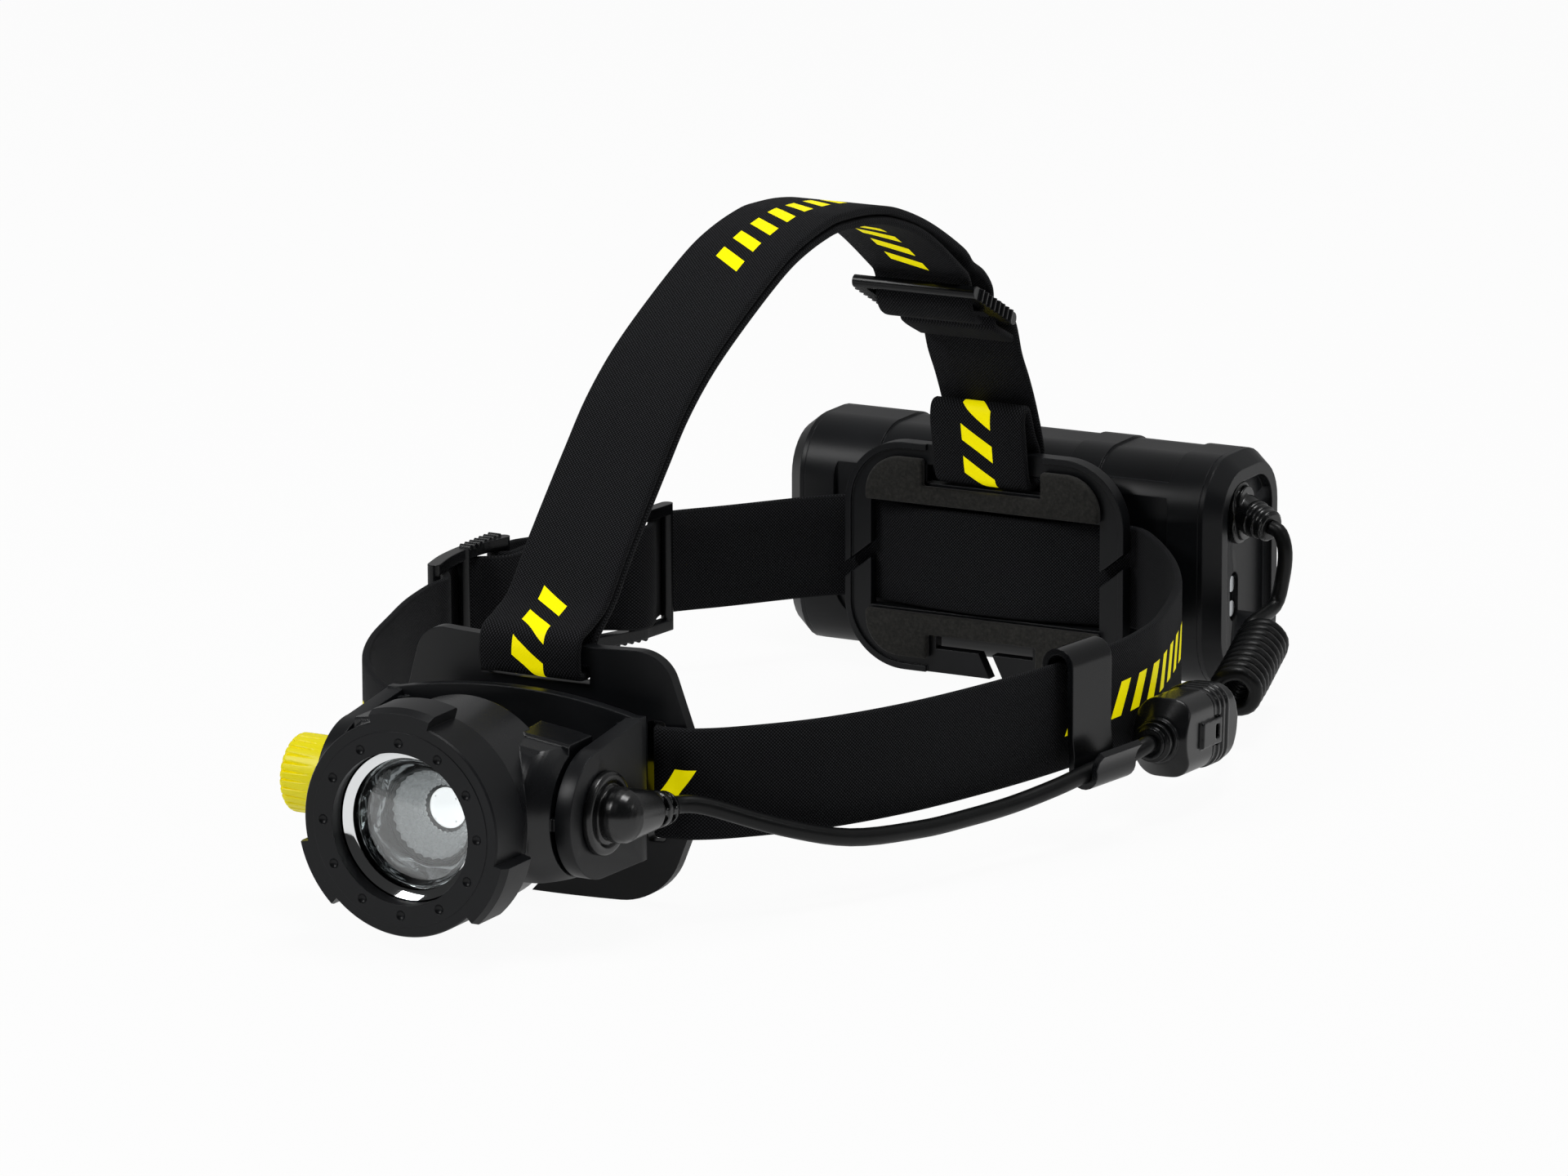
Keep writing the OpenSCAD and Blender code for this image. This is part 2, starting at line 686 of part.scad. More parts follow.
module cable_plug() {
    join = plug_len * 0.52;
    color(plate_black) on_connector() difference() {
        union() {
            connector_half(join);
            along_y(join, join + 7) rounded_rect(plug_w - 4, plug_h - 4, 3);
            translate([plug_w / 2 - 0.6, join - 8, -3]) cube([1.5, 11, 6]);
        }
        translate([plug_w / 2 - 1, join - 0.6, -1.6]) cube([3, 2, 3.2]);
    }
}

module cable_socket() {
    join = plug_len * 0.52;
    length = plug_len - join;
    color(plate_black) on_connector() difference() {
        union() {
            translate([0, plug_len, 0]) rotate([0, 0, 180]) connector_half(length);
            for (i = [0:2]) along_y(join + 2 + 2.6 * i, join + 3.3 + 2.6 * i)
                rounded_rect(plug_w + 0.8, plug_h + 0.8, 4.9);
        }
        along_y(join - 1, join + 7.6) rounded_rect(plug_w - 4 + 2 * fit, plug_h - 4 + 2 * fit, 3 + fit);
        translate([plug_w / 2 - 0.9, join - 1, -3.3]) cube([4, 5, 6.6]);
    }
}

// ---------- headband ----------

// The strap's middle line, first beside the front plate and then round the oval
side_x = band_half_w - wing_slot_x;
function plate_side(x) = plate_back + x * x / (2 * (plate_bend_r - plate_t)) + strap_gap + strap_mid;
function plate_front(x) = plate_y + x * x / (2 * plate_bend_r) - strap_gap - strap_mid;
function oval(fx, y) = [wing_slot_x + fx * side_x, y < 0 ? y * plate_reach / 111 : y * rear_reach / 106.5];
band_rear_y = rear_back + strap_gap + strap_mid;
rear_corner = [rear_w / 2 + 1.4, band_rear_y - 0.2];

// Right half, from the middle of the front plate to the middle of the rear plate
right_front = [[0, plate_side(0)], [14, plate_side(14)], [wing_slot_x - 5, plate_side(wing_slot_x - 5)],
    [wing_slot_x - 0.9, plate_side(wing_slot_x) - 0.9], [wing_slot_x + 1.1, plate_front(wing_slot_x) + 0.55],
    [wing_slot_x + 5, plate_front(wing_slot_x + 5)], [plate_half_w + 0.6, plate_front(plate_half_w) - 0.1]];
right_side = [oval(0.29, -101.2), oval(0.51, -86.6), oval(0.69, -67.6), oval(0.83, -44.5), oval(0.945, -18),
    oval(1, 6), oval(0.985, 25), oval(0.93, 38), oval(0.84, 54), oval(0.75, 66.8), oval(0.55, 86.4),
    oval(0.32, 103.4), rear_corner];
rear_run = [[rear_w / 2 - 5, band_rear_y], [14, band_rear_y], [0, band_rear_y]];
right_route = concat(right_front, right_side, rear_run);

function flip(p) = [for (i = [len(p) - 1:-1:0]) [-p[i][0], p[i][1]]];

// Each adjuster has its own frame: s runs backwards along the strap and n points outwards
bar_t = 3;
bar_half = bar_t / 2;
bar_s = 16.2;
mid_bulge = 2;
wrap = bar_half + strap_gap + strap_mid;
front_adjuster = [-band_half_w, 6, 90];
rear_adjuster = [-band_half_w + 12, 55, 71];
function at_adjuster(a, s, n) = [a[0], a[1]] + s * [cos(a[2]), sin(a[2])] + n * [-sin(a[2]), cos(a[2])];

// The strap's end that comes round from the back passes the rear adjuster,
// and its loop holds the rear bar of the front adjuster
front_loop_end = [
    at_adjuster(front_adjuster, bar_s + 9, -wrap),
    at_adjuster(front_adjuster, bar_s, -wrap),
    at_adjuster(front_adjuster, bar_s - wrap * 0.7, -wrap * 0.7),
    at_adjuster(front_adjuster, bar_s - wrap, 0),
    at_adjuster(front_adjuster, bar_s - wrap * 0.7, wrap * 0.7),
    at_adjuster(front_adjuster, bar_s, wrap),
    at_adjuster(front_adjuster, bar_s + 9, wrap - 0.3)];
rear_weave = [
    at_adjuster(rear_adjuster, -bar_s - 5, wrap + layer),
    at_adjuster(rear_adjuster, -bar_s, wrap + layer),
    at_adjuster(rear_adjuster, -bar_s + 6, wrap + layer - 1.2),
    at_adjuster(rear_adjuster, -3.6, 0),
    at_adjuster(rear_adjuster, 1.4, -wrap - 2),
    at_adjuster(rear_adjuster, 6.6, -wrap - 1.6),
    at_adjuster(rear_adjuster, 11.6, 0),
    at_adjuster(rear_adjuster, bar_s, wrap),
    at_adjuster(rear_adjuster, bar_s + 4, wrap)];
// The other end passes the front adjuster, and its loop holds the front bar of the rear one
front_weave = [
    at_adjuster(front_adjuster, -bar_s - 6, -wrap),
    at_adjuster(front_adjuster, -bar_s, -wrap),
    at_adjuster(front_adjuster, -11.6, -0.6),
    at_adjuster(front_adjuster, -4, mid_bulge + wrap),
    at_adjuster(front_adjuster, 1.6, mid_bulge + wrap + 0.3),
    at_adjuster(front_adjuster, 6, mid_bulge),
    at_adjuster(front_adjuster, 10.4, -wrap - 1),
    at_adjuster(front_adjuster, bar_s, -wrap - layer),
    at_adjuster(front_adjuster, bar_s + 4, -wrap - layer)];
rear_loop_end = [
    at_adjuster(rear_adjuster, -bar_s - 5, -wrap),
    at_adjuster(rear_adjuster, -bar_s, -wrap),
    at_adjuster(rear_adjuster, -bar_s + wrap * 0.7, -wrap * 0.7),
    at_adjuster(rear_adjuster, -bar_s + wrap, 0),
    at_adjuster(rear_adjuster, -bar_s + wrap * 0.7, wrap * 0.7),
    at_adjuster(rear_adjuster, -bar_s, wrap),
    at_adjuster(rear_adjuster, -bar_s - 6, wrap)];
left_front = [oval(0.9, -31), oval(0.82, -46), oval(0.69, -67.6), oval(0.51, -86.6), oval(0.29, -101.2)];
left_rear = [oval(0.66, 79), oval(0.55, 86.4), oval(0.32, 103.4), rear_corner];

band_route = concat(
    [for (i = [len(rear_loop_end) - 1:-1:0]) rear_loop_end[i]],
    [for (i = [len(front_weave) - 1:-1:0]) front_weave[i]],
    [for (p = left_front) [-p[0], p[1]]],
    flip(right_front),
    [for (i = [1:len(right_route) - 1]) right_route[i]],
    [for (i = [1:len(rear_run) - 1]) [-rear_run[len(rear_run) - 1 - i][0], band_rear_y]],
    [for (i = [len(left_rear) - 1:-1:0]) [-left_rear[i][0], left_rear[i][1]]],
    [for (i = [len(rear_weave) - 1:-1:0]) rear_weave[i]],
    [for (i = [len(front_loop_end) - 1:-1:0]) front_loop_end[i]]);

module headband() {
    color(strap_black) along_z(-strap_half, strap_half) strap_section(smooth(band_route, 3));
}

// A three-bar strap adjuster, lying in its own frame
slider_h = strap_w + 6;

module adjuster(a, mid_s, bulge, ribs_top, loop_s) {
    rail = slider_h / 2 - strap_half - 0.4;
    color(plate_black) translate([a[0], a[1], 0]) rotate([0, 0, a[2]]) {
        for (s = [-bar_s, bar_s]) translate([s, 0, 0]) cylinder(h = slider_h, r = bar_half, center = true);
        translate([mid_s, bulge, 0]) cylinder(h = slider_h, r = bar_half, center = true);
        for (z = [-1, 1]) translate([0, 0, z * (slider_h - rail) / 2]) linear_extrude(rail, center = true)
            strap_section(smooth([[-bar_s, 0], [-bar_s / 2, bulge * 0.9], [mid_s, bulge * 1.2],
                [bar_s / 2, bulge * 0.9], [bar_s, 0]]), bar_t);
        for (i = [0:6]) translate([loop_s + 2.2 * i, bulge, ribs_top * slider_h / 2])
            rotate([90, 0, 0]) cylinder(h = bar_t, r = 0.7, center = true, $fn = 16);
    }
}

module front_slider() adjuster(front_adjuster, 1, mid_bulge, 1, 2.2);

module rear_slider() adjuster(rear_adjuster, 4, -mid_bulge, -1, -7);

// The clip sits on the band beside the widest part, turned with it
function clip_line(t) = curve_at(right_side[3], right_side[4], right_side[5], right_side[6], t);
clip_at = clip_line(0.23);
clip_turn = atan2(clip_at[0] - clip_line(0.4)[0], clip_line(0.4)[1] - clip_at[1]);

module cable_clip() {
    clip_t = 1.5;
    clip_w = 15;
    inner = -strap_mid - 2 * strap_gap - clip_t / 2;
    outer = 4.6;
    bend_r = (outer - inner) / 2;
    bend = [inner + bend_r, strap_half - 0.5];
    hook = [(lamp_route[10] - [clip_at[0], clip_at[1], 0]) * [cos(clip_turn), sin(clip_turn), 0],
        lamp_route[10][2]];
    hook_r = cable_d / 2 + 0.4 + clip_t / 2;
    color(plate_black) translate([clip_at[0], clip_at[1], 0]) rotate([0, 0, clip_turn])
        along_y(-clip_w / 2, clip_w / 2) strap_section(concat(
            [[inner, 3]],
            arc(bend, bend_r, 180, 0, 8),
            [[outer, 2], [outer, -4], [hook[0] - hook_r, hook[1] + 3.5]],
            arc(hook, hook_r, 180, 380, 12),
            [hook + [hook_r + 0.6, 3.2], hook + [hook_r + 1.9, 4.8]]), clip_t);
}

// ---------- crown strap ----------

// The crown slider's frame: s runs backwards and down, n points away from the head
crown_at = [80, 69.5];
crown_turn = -26.57;
crown_bar_s = 10.8;
function at_crown(s, n) = crown_at + s * [cos(crown_turn), sin(crown_turn)]
    + n * [-sin(crown_turn), cos(crown_turn)];

// Side view of the strap's outer layer, [y, z], from the front plate back to the slider
front_shift = -plate_reach + 111;
crown_outer = [[-106.3 + front_shift, 32.6], [-100 + front_shift, 35.8], [-91.9, 44.8], [-83.4, 53.7],
    [-74.3, 62.9], [-64.9, 72], [-52.7, 80.6], [-36.8, 88.8], [-19, 96.6], [-7.2, 100.1], [5.2, 102.1],
    [13, 102.2], [25, 101.3], [37.6, 98.8], [54, 92.7], [70.4, 84.2]];
behind_plate = plate_side(strap_half);
plate_wrap = [
    [behind_plate + 0.3, crown_slot_z + 6.2],
    [behind_plate + 0.1, crown_slot_z + 3.4],
    [plate_back - 0.2, crown_slot_z + 1.7],
    [plate_y + 1.2, crown_slot_z + 1.5],
    [plate_y - 1.2, crown_slot_z + 2.1],
    [plate_y - strap_mid - 0.7, crown_slot_z + 4.2],
    [plate_y - strap_mid - 0.6, crown_slot_z + 7.6],
    [plate_y - 0.2, crown_slot_z + 10.4]];
under = beside(crown_outer, -layer - 0.1);
crown_inner = concat(
    [for (i = [len(under) - 2:-1:2]) under[i]],
    [[-96 + front_shift, 36.2], [-101 + front_shift, 32.1], [-104.4 + front_shift, 29.2]]);
// One end comes up round the slider's middle bar, the other passes over it and down to meet it
slider_start = [at_crown(2.2, -wrap - 0.5), at_crown(-1.6, -wrap - 0.9), at_crown(-5, -1.8),
    at_crown(-6.6, 1.4), at_crown(-9, wrap + 0.8), at_crown(-13, wrap + 1.8)];
slider_end = [at_crown(-8.4, wrap + layer + 2.2), at_crown(-2, wrap + layer + 1.9),
    at_crown(3.6, wrap + 2.2), at_crown(5.5, wrap - 1), at_crown(4.6, -1.2)];
crown_route = concat(slider_start, crown_inner, plate_wrap, crown_outer, slider_end);

module crown_strap() {
    color(strap_black) along_x(-strap_half, strap_half) strap_section(smooth(crown_route, 3));
}

module crown_slider() {
    half_w = strap_half + 3.5;
    rail = half_w - strap_half - 0.4;
    color(plate_black) translate([0, crown_at[0], crown_at[1]]) rotate([crown_turn, 0, 0]) {
        for (s = [-crown_bar_s, 0, crown_bar_s]) translate([0, s, 0]) rod_x(-half_w, half_w, bar_half);
        mirrored_x() translate([half_w - rail, -crown_bar_s, -bar_half]) cube([rail, 2 * crown_bar_s, bar_t]);
        mirrored_x() for (i = [0:7]) translate([half_w, -8.4 + 2.4 * i, 0])
            cylinder(h = bar_t, r = 0.7, center = true, $fn = 16);
    }
}

// ---------- strap between the crown slider and the rear plate ----------

rear_top = rear_h / 2;
back_run = rear_back + strap_gap + strap_mid;
rear_strap_route = [
    at_crown(crown_bar_s + 9, -wrap + 0.2),
    at_crown(crown_bar_s, -wrap),
    at_crown(crown_bar_s - wrap * 0.7, -wrap * 0.7),
    at_crown(crown_bar_s - wrap, 0),
    at_crown(crown_bar_s - wrap * 0.7, wrap * 0.7),
    at_crown(crown_bar_s, wrap),
    at_crown(crown_bar_s + 8, wrap - 1.6),
    [rear_reach - 5.4, rear_top + 25.4],
    [rear_reach - 1.6, rear_top + 19],
    [rear_reach + 1.7, rear_top + 12.6],
    [rear_reach + 4.9, rear_top + 5.2],
    [back_run + layer, rear_top],
    [back_run + layer, rear_top - 3.6],
    [back_run + layer - 1.4, rear_top - 6.6],
    [rear_back - 0.4, rear_top - 7.8],
    [rear_reach - 0.4, rear_top - 7.4],
    [rear_reach - 1.9, rear_top - 4],
    [rear_reach - 2.9, rear_top + 2],
    [rear_reach - 3.9, rear_top + 7.4],
    [rear_reach - 3.5, rear_top + 10.7],
    [rear_reach - 1.7, rear_top + 11.4],
    [rear_reach - 0.4, rear_top + 9.4],
    [rear_reach + 1.6, rear_top + 4.6],
    [back_run, rear_top],
    [back_run, rear_top - 3.4]];

module rear_strap() {
    color(strap_black) along_x(-strap_half, strap_half) strap_section(smooth(rear_strap_route, 3));
}

// ---------- rear plate ----------

plate_screw_x = 24;
plate_screw_z = 19;

slit_shift = 2.2;
slit_rise = 0.8 * side_bar_w;

module rear_outline() rounded_rect(rear_w, rear_h, 16);

module rear_openings() {
    window_w = rear_w - 2 * side_bar_w;
    translate([-window_w / 2, -window_z]) square([window_w, 2 * window_z]);
    translate([-rear_slot_x, rear_slot_z]) square([2 * rear_slot_x, rear_slot_h]);
    open_slot(rear_slot_x - 2.4, -rear_slot_z, 3.6, -rear_top, -2, 0.5);
    // Slanted slits through the side bars
    for (s = [-1, 1]) translate([s * (rear_w - side_bar_w) / 2, s * slit_shift])
        polygon([[-side_bar_w, -slit_rise - slit_w / 2], [side_bar_w, slit_rise - slit_w / 2],
            [side_bar_w, slit_rise + slit_w / 2], [-side_bar_w, slit_w / 2 - slit_rise]]);
}

// The half plane above the line that runs through both slits
module upper_half() {
    x = (rear_w - side_bar_w) / 2;
    polygon([[-x - side_bar_w, -slit_shift - slit_rise], [-x, -slit_shift], [x, slit_shift],
        [x + side_bar_w, slit_shift + slit_rise], [x + side_bar_w, rear_h], [-x - side_bar_w, rear_h]]);
}

// Both halves of the rear plate; each hooks over the straps and is screwed to the battery case
module rear_frame() {
    rim = 0.8;
    color(plate_black) difference() {
        union() {
            along_y(rear_reach, rear_back) difference() {
                rear_outline();
                rear_openings();
            }
            // Raised rim along the outer edge, towards the head
            along_y(rear_reach - rim, rear_reach + 0.1) difference() {
                rear_outline();
                rounded_rect(rear_w - 3, rear_h - 3, 14.5);
                rear_openings();
                translate([-rear_slot_x, 10]) square([2 * rear_slot_x, 40]);
                translate([-rear_slot_x, -50]) square([2 * rear_slot_x, 40]);
            }
        }
        for (x = [-1, 1], z = [-1, 1]) translate([x * plate_screw_x, 0, z * plate_screw_z]) {
            rod_y(rear_reach - 2, rear_back + 1, 1.25 + fit);
            rod_y(rear_reach - 2, rear_reach + 1.5, 2.4);
        }
    }
}

module rear_plate_upper() {
    intersection() {
        rear_frame();
        along_y(rear_reach - 2, rear_back + 1) upper_half();
    }
}

module rear_plate_lower() {
    difference() {
        rear_frame();
        along_y(rear_reach - 2, rear_back + 1) upper_half();
    }
}

module plate_screws() {
    color(steel) for (x = [-1, 1], z = [-1, 1])
        translate([x * plate_screw_x, 0, z * plate_screw_z]) {
            rod_y(rear_reach + 1.5, rear_back + 5, 1.25);
            difference() {
                rod_y(rear_reach + 0.2, rear_reach + 1.5, 2.3);
                translate([0, rear_reach - 0.4, 0]) rotate([-90, 0, 0]) cylinder(h = 1.4, r = 1, $fn = 6);
            }
        }
}

module rear_pad_outline() {
    difference() {
        rounded_rect(rear_w - 12.4, rear_h - 7, 9);
        square([rear_w, 2 * window_z + 1], center = true);
        translate([-rear_slot_x - 0.4, rear_slot_z - 0.6]) square([2 * rear_slot_x + 0.8, 20]);
        translate([-rear_slot_x + 0.8, -40]) square([2 * rear_slot_x - 1.6, 40 - rear_slot_z]);
    }
}

module rear_pad_upper() {
    color(foam_grey) along_y(rear_reach - rear_pad_t, rear_reach) intersection() {
        rear_pad_outline();
        translate([-50, 0]) square([100, 50]);
    }
}

module rear_pad_lower() {
    color(foam_grey) along_y(rear_reach - rear_pad_t, rear_reach) intersection() {
        rear_pad_outline();
        translate([-50, -50]) square([100, 50]);
    }
}

// ---------- battery box ----------

module case_section(grow = 0) {
    translate([case_mid, 0]) rounded_rect(case_d + 2 * grow, case_h + 2 * grow, case_r + grow);
}

module case_hollow(grow = 0) {
    w = case_wall - grow;
    translate([case_mid, 0]) rounded_rect(case_d - 2 * w, case_h - 2 * w, case_r - w);
}

module case_bosses() {
    for (x = [-1, 1], z = [-1, 1]) translate([x * plate_screw_x, 0, z * plate_screw_z])
        rod_y(rear_back, case_y + 3.2, 3.4);
}

module battery_case() {
    lands = [[-half_case + 18.8, 16], [24.7, half_case - 9]];
    inset = 0.5;
    color(plate_black) difference() {
        union() {
            difference() {
                along_x(-half_case, half_case) case_section();
                // Sunk panel towards the head
                along_y(case_y - 1, case_y + 1) translate([0, 2.7]) rounded_rect(89.2, 45.4, 10);
                // Shallow sunk fields between the raised lands on top
                for (f = lands) intersection() {
                    along_x(f[0], f[1]) difference() {
                        case_section(1);
                        case_section(-inset);
                    }
                    translate([-100, case_y + 3, case_h / 2 - 11]) cube([200, case_d + 10, 40]);
                }
            }
            case_bosses();
        }
        along_x(-half_case - 1, half_case + 1) case_hollow();
        for (x = [-1, 1], z = [-1, 1]) translate([x * plate_screw_x, 0, z * plate_screw_z])
            rod_y(rear_back - 1, rear_back + 5.5, 1.25 + fit);
    }
}

// Tapered cap with a spigot inside the case and a sunk end face
module cap_blank() {
    spigot = 4;
    rim = 3;
    color(plate_black) difference() {
        union() {
            hull() {
                along_x(half_case, half_case + 1.2) case_section($fn = hull_fn);
                along_x(cap_end - 0.1, cap_end) case_section(-cap_taper, $fn = hull_fn);
            }
            along_x(half_case - spigot, half_case) case_hollow(-fit);
        }
        along_x(cap_end - 2.4, cap_end + 1) case_section(-cap_taper - rim);
        along_x(half_case - spigot - 1, half_case) case_hollow(-2);
        // Groove for the gasket
        along_x(half_case - 2.6, half_case - 1.2) difference() {
            case_hollow(1);
            case_hollow(-0.9);
        }
    }
}

cap_face = cap_end - 2.4;
port_y = case_y + 15;
port_z = -6.5;
inlet = [cap_face, case_y + 16, 14];

module end_cap_left() {
    difference() {
        cap_blank();
        color(plate_black) translate([0, port_y, port_z]) {
            along_x(cap_face - 1.4, cap_face + 1) rounded_rect(4.5, 12, 2.2);
            for (z = [-3, 3]) translate([0, 0, z]) rod_x(cap_face - 8, cap_face, 1.2 + fit);
        }
        color(plate_black) translate([0, inlet[1], inlet[2]]) rod_x(cap_face - 8, cap_face + 1, 3 + fit);
    }
}

module end_cap_right() {
    mirror([1, 0, 0]) cap_blank();
}

module cap_gaskets() {
    color(seal_black) mirrored_x() along_x(half_case - 2.5, half_case - 1.3) difference() {
        case_hollow(-0.02);
        case_hollow(-0.85);
    }
}

// Round contacts of the charging port
module charge_contacts() {
    color(steel) translate([0, port_y, port_z]) for (z = [-3, 3]) translate([0, 0, z]) {
        rod_x(cap_face - 1.4, cap_face - 0.7, 1.9);
        rod_x(cap_face - 7, cap_face - 1.4, 1.2);
    }
}

module battery_strain_relief() {
    mouth = battery_route[0];
    d = mouth - [inlet[0] + 2, inlet[1], inlet[2]];
    color(seal_black) {
        translate([0, inlet[1], inlet[2]]) {
            rod_x(cap_face - 5, cap_face + 0.5, 3);
            along_x(cap_face, cap_face + 1.6) rounded_rect(10, 15, 4.6);
            along_x(cap_face + 1.5, cap_face + 2.8) rounded_rect(8.4, 13, 4);
        }
        translate([inlet[0] + 2, inlet[1], inlet[2]])
            rotate([0, 90 - asin(d[2] / norm(d)), atan2(d[1], d[0])]) {
                cylinder(h = norm(d), r1 = 4.8, r2 = 3.4);
                for (i = [0:2]) translate([0, 0, norm(d) - 1.6 - 2.2 * i]) cylinder(h = 1, r = 3.9 + 0.3 * i);
            }
    }
}

cell_y = case_y + case_wall + cell_r + 0.6;
cell_x = 8;

module cell(z) {
    color("#3b6ea5") translate([0, cell_y, z]) rod_x(-cell_x - cell_len / 2, cell_len / 2 - cell_x, cell_r);
    color(steel) translate([0, cell_y, z]) rod_x(cell_len / 2 - cell_x, cell_len / 2 - cell_x + 0.8, 3.4);
}

cell_z = cell_r + 0.7;

module cell_upper() cell(cell_z);

module cell_lower() cell(-cell_z);

// Two frames that hold the cells in the case
module cell_cradles() {
    for (x = [-cell_x - cell_len / 2 + 3, cell_len / 2 - cell_x - 11]) color("#2f3133") difference() {
        along_x(x, x + 8) intersection() {
            case_hollow(-0.3);
            translate([case_y, -50]) square([case_wall + 2 * cell_r + 1, 100]);
        }
        for (z = [-1, 1]) translate([0, cell_y, z * cell_z]) rod_x(x - 1, x + 9, cell_r + fit);
    }
}

// Strip that joins the cells at their far end, and a tab on each at the near end
module cell_links() {
    t = 0.3;
    color(copper_gold) {
        translate([-cell_x - cell_len / 2 - t, cell_y - 3.5, -cell_z - 3]) cube([t, 7, 2 * cell_z + 6]);
        for (z = [-1, 1]) translate([cell_len / 2 - cell_x + 0.8, cell_y - 3.5, z * cell_z - 3])
            cube([t, 7, 6]);
    }
}

module power_board() {
    y = cell_y + cell_r + 1;
    color(board_green) translate([-40, y, -19]) cube([84, 1.6, 38]);
    color("#1a1a1a") {
        translate([-22, y + 1.6, -6]) cube([12, 1.8, 12]);
        translate([4, y + 1.6, -10]) cube([9, 2.4, 9]);
        translate([20, y + 1.6, 2]) cube([7, 2, 7]);
    }
    color(copper_gold) for (i = [0:5]) translate([34, y + 1.6, -15 + 5 * i]) cube([6, 0.6, 2.4]);
}

front_plate();
forehead_pad_upper();
forehead_pad_lower();
tilt_bracket();
bracket_screws();
lamp_housing();
rear_cover();
heat_sink();
led_module();
driver_board();
rotary_switch();
ring_seal();
focus_ring();
lens_trim_ring();
front_window();
lens_carrier();
focus_optic();
knob_bushing();
switch_plunger();
knob_shaft();
dimmer_knob();
lamp_strain_relief();
headband();
front_slider();
rear_slider();
crown_strap();
crown_slider();
rear_strap();
rear_plate_upper();
rear_plate_lower();
rear_pad_upper();
rear_pad_lower();
plate_screws();
battery_case();
end_cap_left();
end_cap_right();
cap_gaskets();
cell_upper();
cell_lower();
cell_cradles();
cell_links();
power_board();
charge_contacts();
battery_strain_relief();
cable_clip();
lamp_cable();
cable_plug();
cable_socket();
plug_lead();
curly_cable();
battery_lead();
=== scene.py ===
"""Strap-on work headlamp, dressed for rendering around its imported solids.

The lamp head, its focus ring, the plates and the battery box keep the shapes of the solids.
The straps, pads, cords, reliefs, connector, knob and optic are built here, the bracket, clip and
end caps are smoothed copies of their solids, and every surface gets its finish.
Sizes are written in millimetres and turned into metres where a mesh is made.
"""

import logging
import math
from dataclasses import dataclass, field
from enum import Enum

import bmesh
import bpy
from mathutils import Matrix, Vector


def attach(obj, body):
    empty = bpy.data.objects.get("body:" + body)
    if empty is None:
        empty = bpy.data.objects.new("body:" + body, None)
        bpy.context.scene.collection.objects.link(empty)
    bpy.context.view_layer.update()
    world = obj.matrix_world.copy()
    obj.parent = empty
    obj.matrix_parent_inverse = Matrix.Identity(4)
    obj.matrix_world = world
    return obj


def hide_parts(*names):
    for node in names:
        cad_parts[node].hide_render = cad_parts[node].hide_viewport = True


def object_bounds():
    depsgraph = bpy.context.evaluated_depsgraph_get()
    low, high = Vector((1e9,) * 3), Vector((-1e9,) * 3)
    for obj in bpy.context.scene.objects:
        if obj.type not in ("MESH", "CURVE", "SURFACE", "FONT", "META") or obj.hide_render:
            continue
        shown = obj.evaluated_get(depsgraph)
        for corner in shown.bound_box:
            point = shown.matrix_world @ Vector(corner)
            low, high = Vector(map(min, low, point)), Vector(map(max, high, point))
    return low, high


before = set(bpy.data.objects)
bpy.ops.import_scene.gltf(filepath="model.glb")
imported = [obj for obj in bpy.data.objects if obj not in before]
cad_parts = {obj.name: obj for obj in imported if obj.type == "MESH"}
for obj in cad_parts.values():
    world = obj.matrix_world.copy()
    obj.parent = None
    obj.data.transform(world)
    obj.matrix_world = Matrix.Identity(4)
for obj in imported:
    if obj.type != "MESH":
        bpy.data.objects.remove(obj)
CAD_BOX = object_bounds()

LOG = logging.getLogger("headlamp")
MM = 0.001
Point = tuple[float, ...]
Ring = list[Vector]
Face = tuple[int, ...]

# The axis that the lamp tilts on and the knob turns round runs along X at this Y and Z
PIVOT_Y, PIVOT_Z = -137.0, 0.0
# A cord's rings are counted from this direction, which no cord runs along
FIRST_SIDE = Vector((0.3, 0.2, 1.0))
# Straps and cords look round where their faces meet at less than this angle
ROUNDED_DEG = 60


class Body(Enum):
    """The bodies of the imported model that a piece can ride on."""

    FRAME = "frame"
    LAMP = "lamp_head"
    RING = "focus_ring"
    LENS = "lens_carrier"
    KNOB = "dimmer_knob"


# ---------- small tools ----------


def linear(colour: str) -> tuple[float, float, float, float]:
    """Turns an sRGB hex colour into a linear one.

    Args:
        colour: The colour, such as "#1b1c1e".

    Returns:
        Red, green, blue and an alpha of 1.
    """
    parts = [int(colour[i : i + 2], 16) / 255 for i in (1, 3, 5)]
    red, green, blue = (c / 12.92 if c <= 0.04045 else ((c + 0.055) / 1.055) ** 2.4 for c in parts)
    return (red, green, blue, 1.0)


def grain_scale(size_mm: float) -> float:
    """Gives the scale at which a noise's grains have a size, with about three of them to its unit."""
    return 1000 / size_mm / 3


def add_node(tree: bpy.types.NodeTree, kind: str, inputs: dict | None = None,
             **settings) -> bpy.types.Node:
    """Adds a node with its settings and links.

    Args:
        tree: The tree that gets the node.
        kind: The node's type.
        inputs: A value, or an output to link, for each input's name or number.
        **settings: The node's own properties.

    Returns:
        The new node.
    """
    node = tree.nodes.new(kind)
    for name, value in settings.items():
        setattr(node, name, value)
    for name, value in (inputs or {}).items():
        if isinstance(value, bpy.types.NodeSocket):
            tree.links.new(value, node.inputs[name])
        else:
            node.inputs[name].default_value = value
    return node


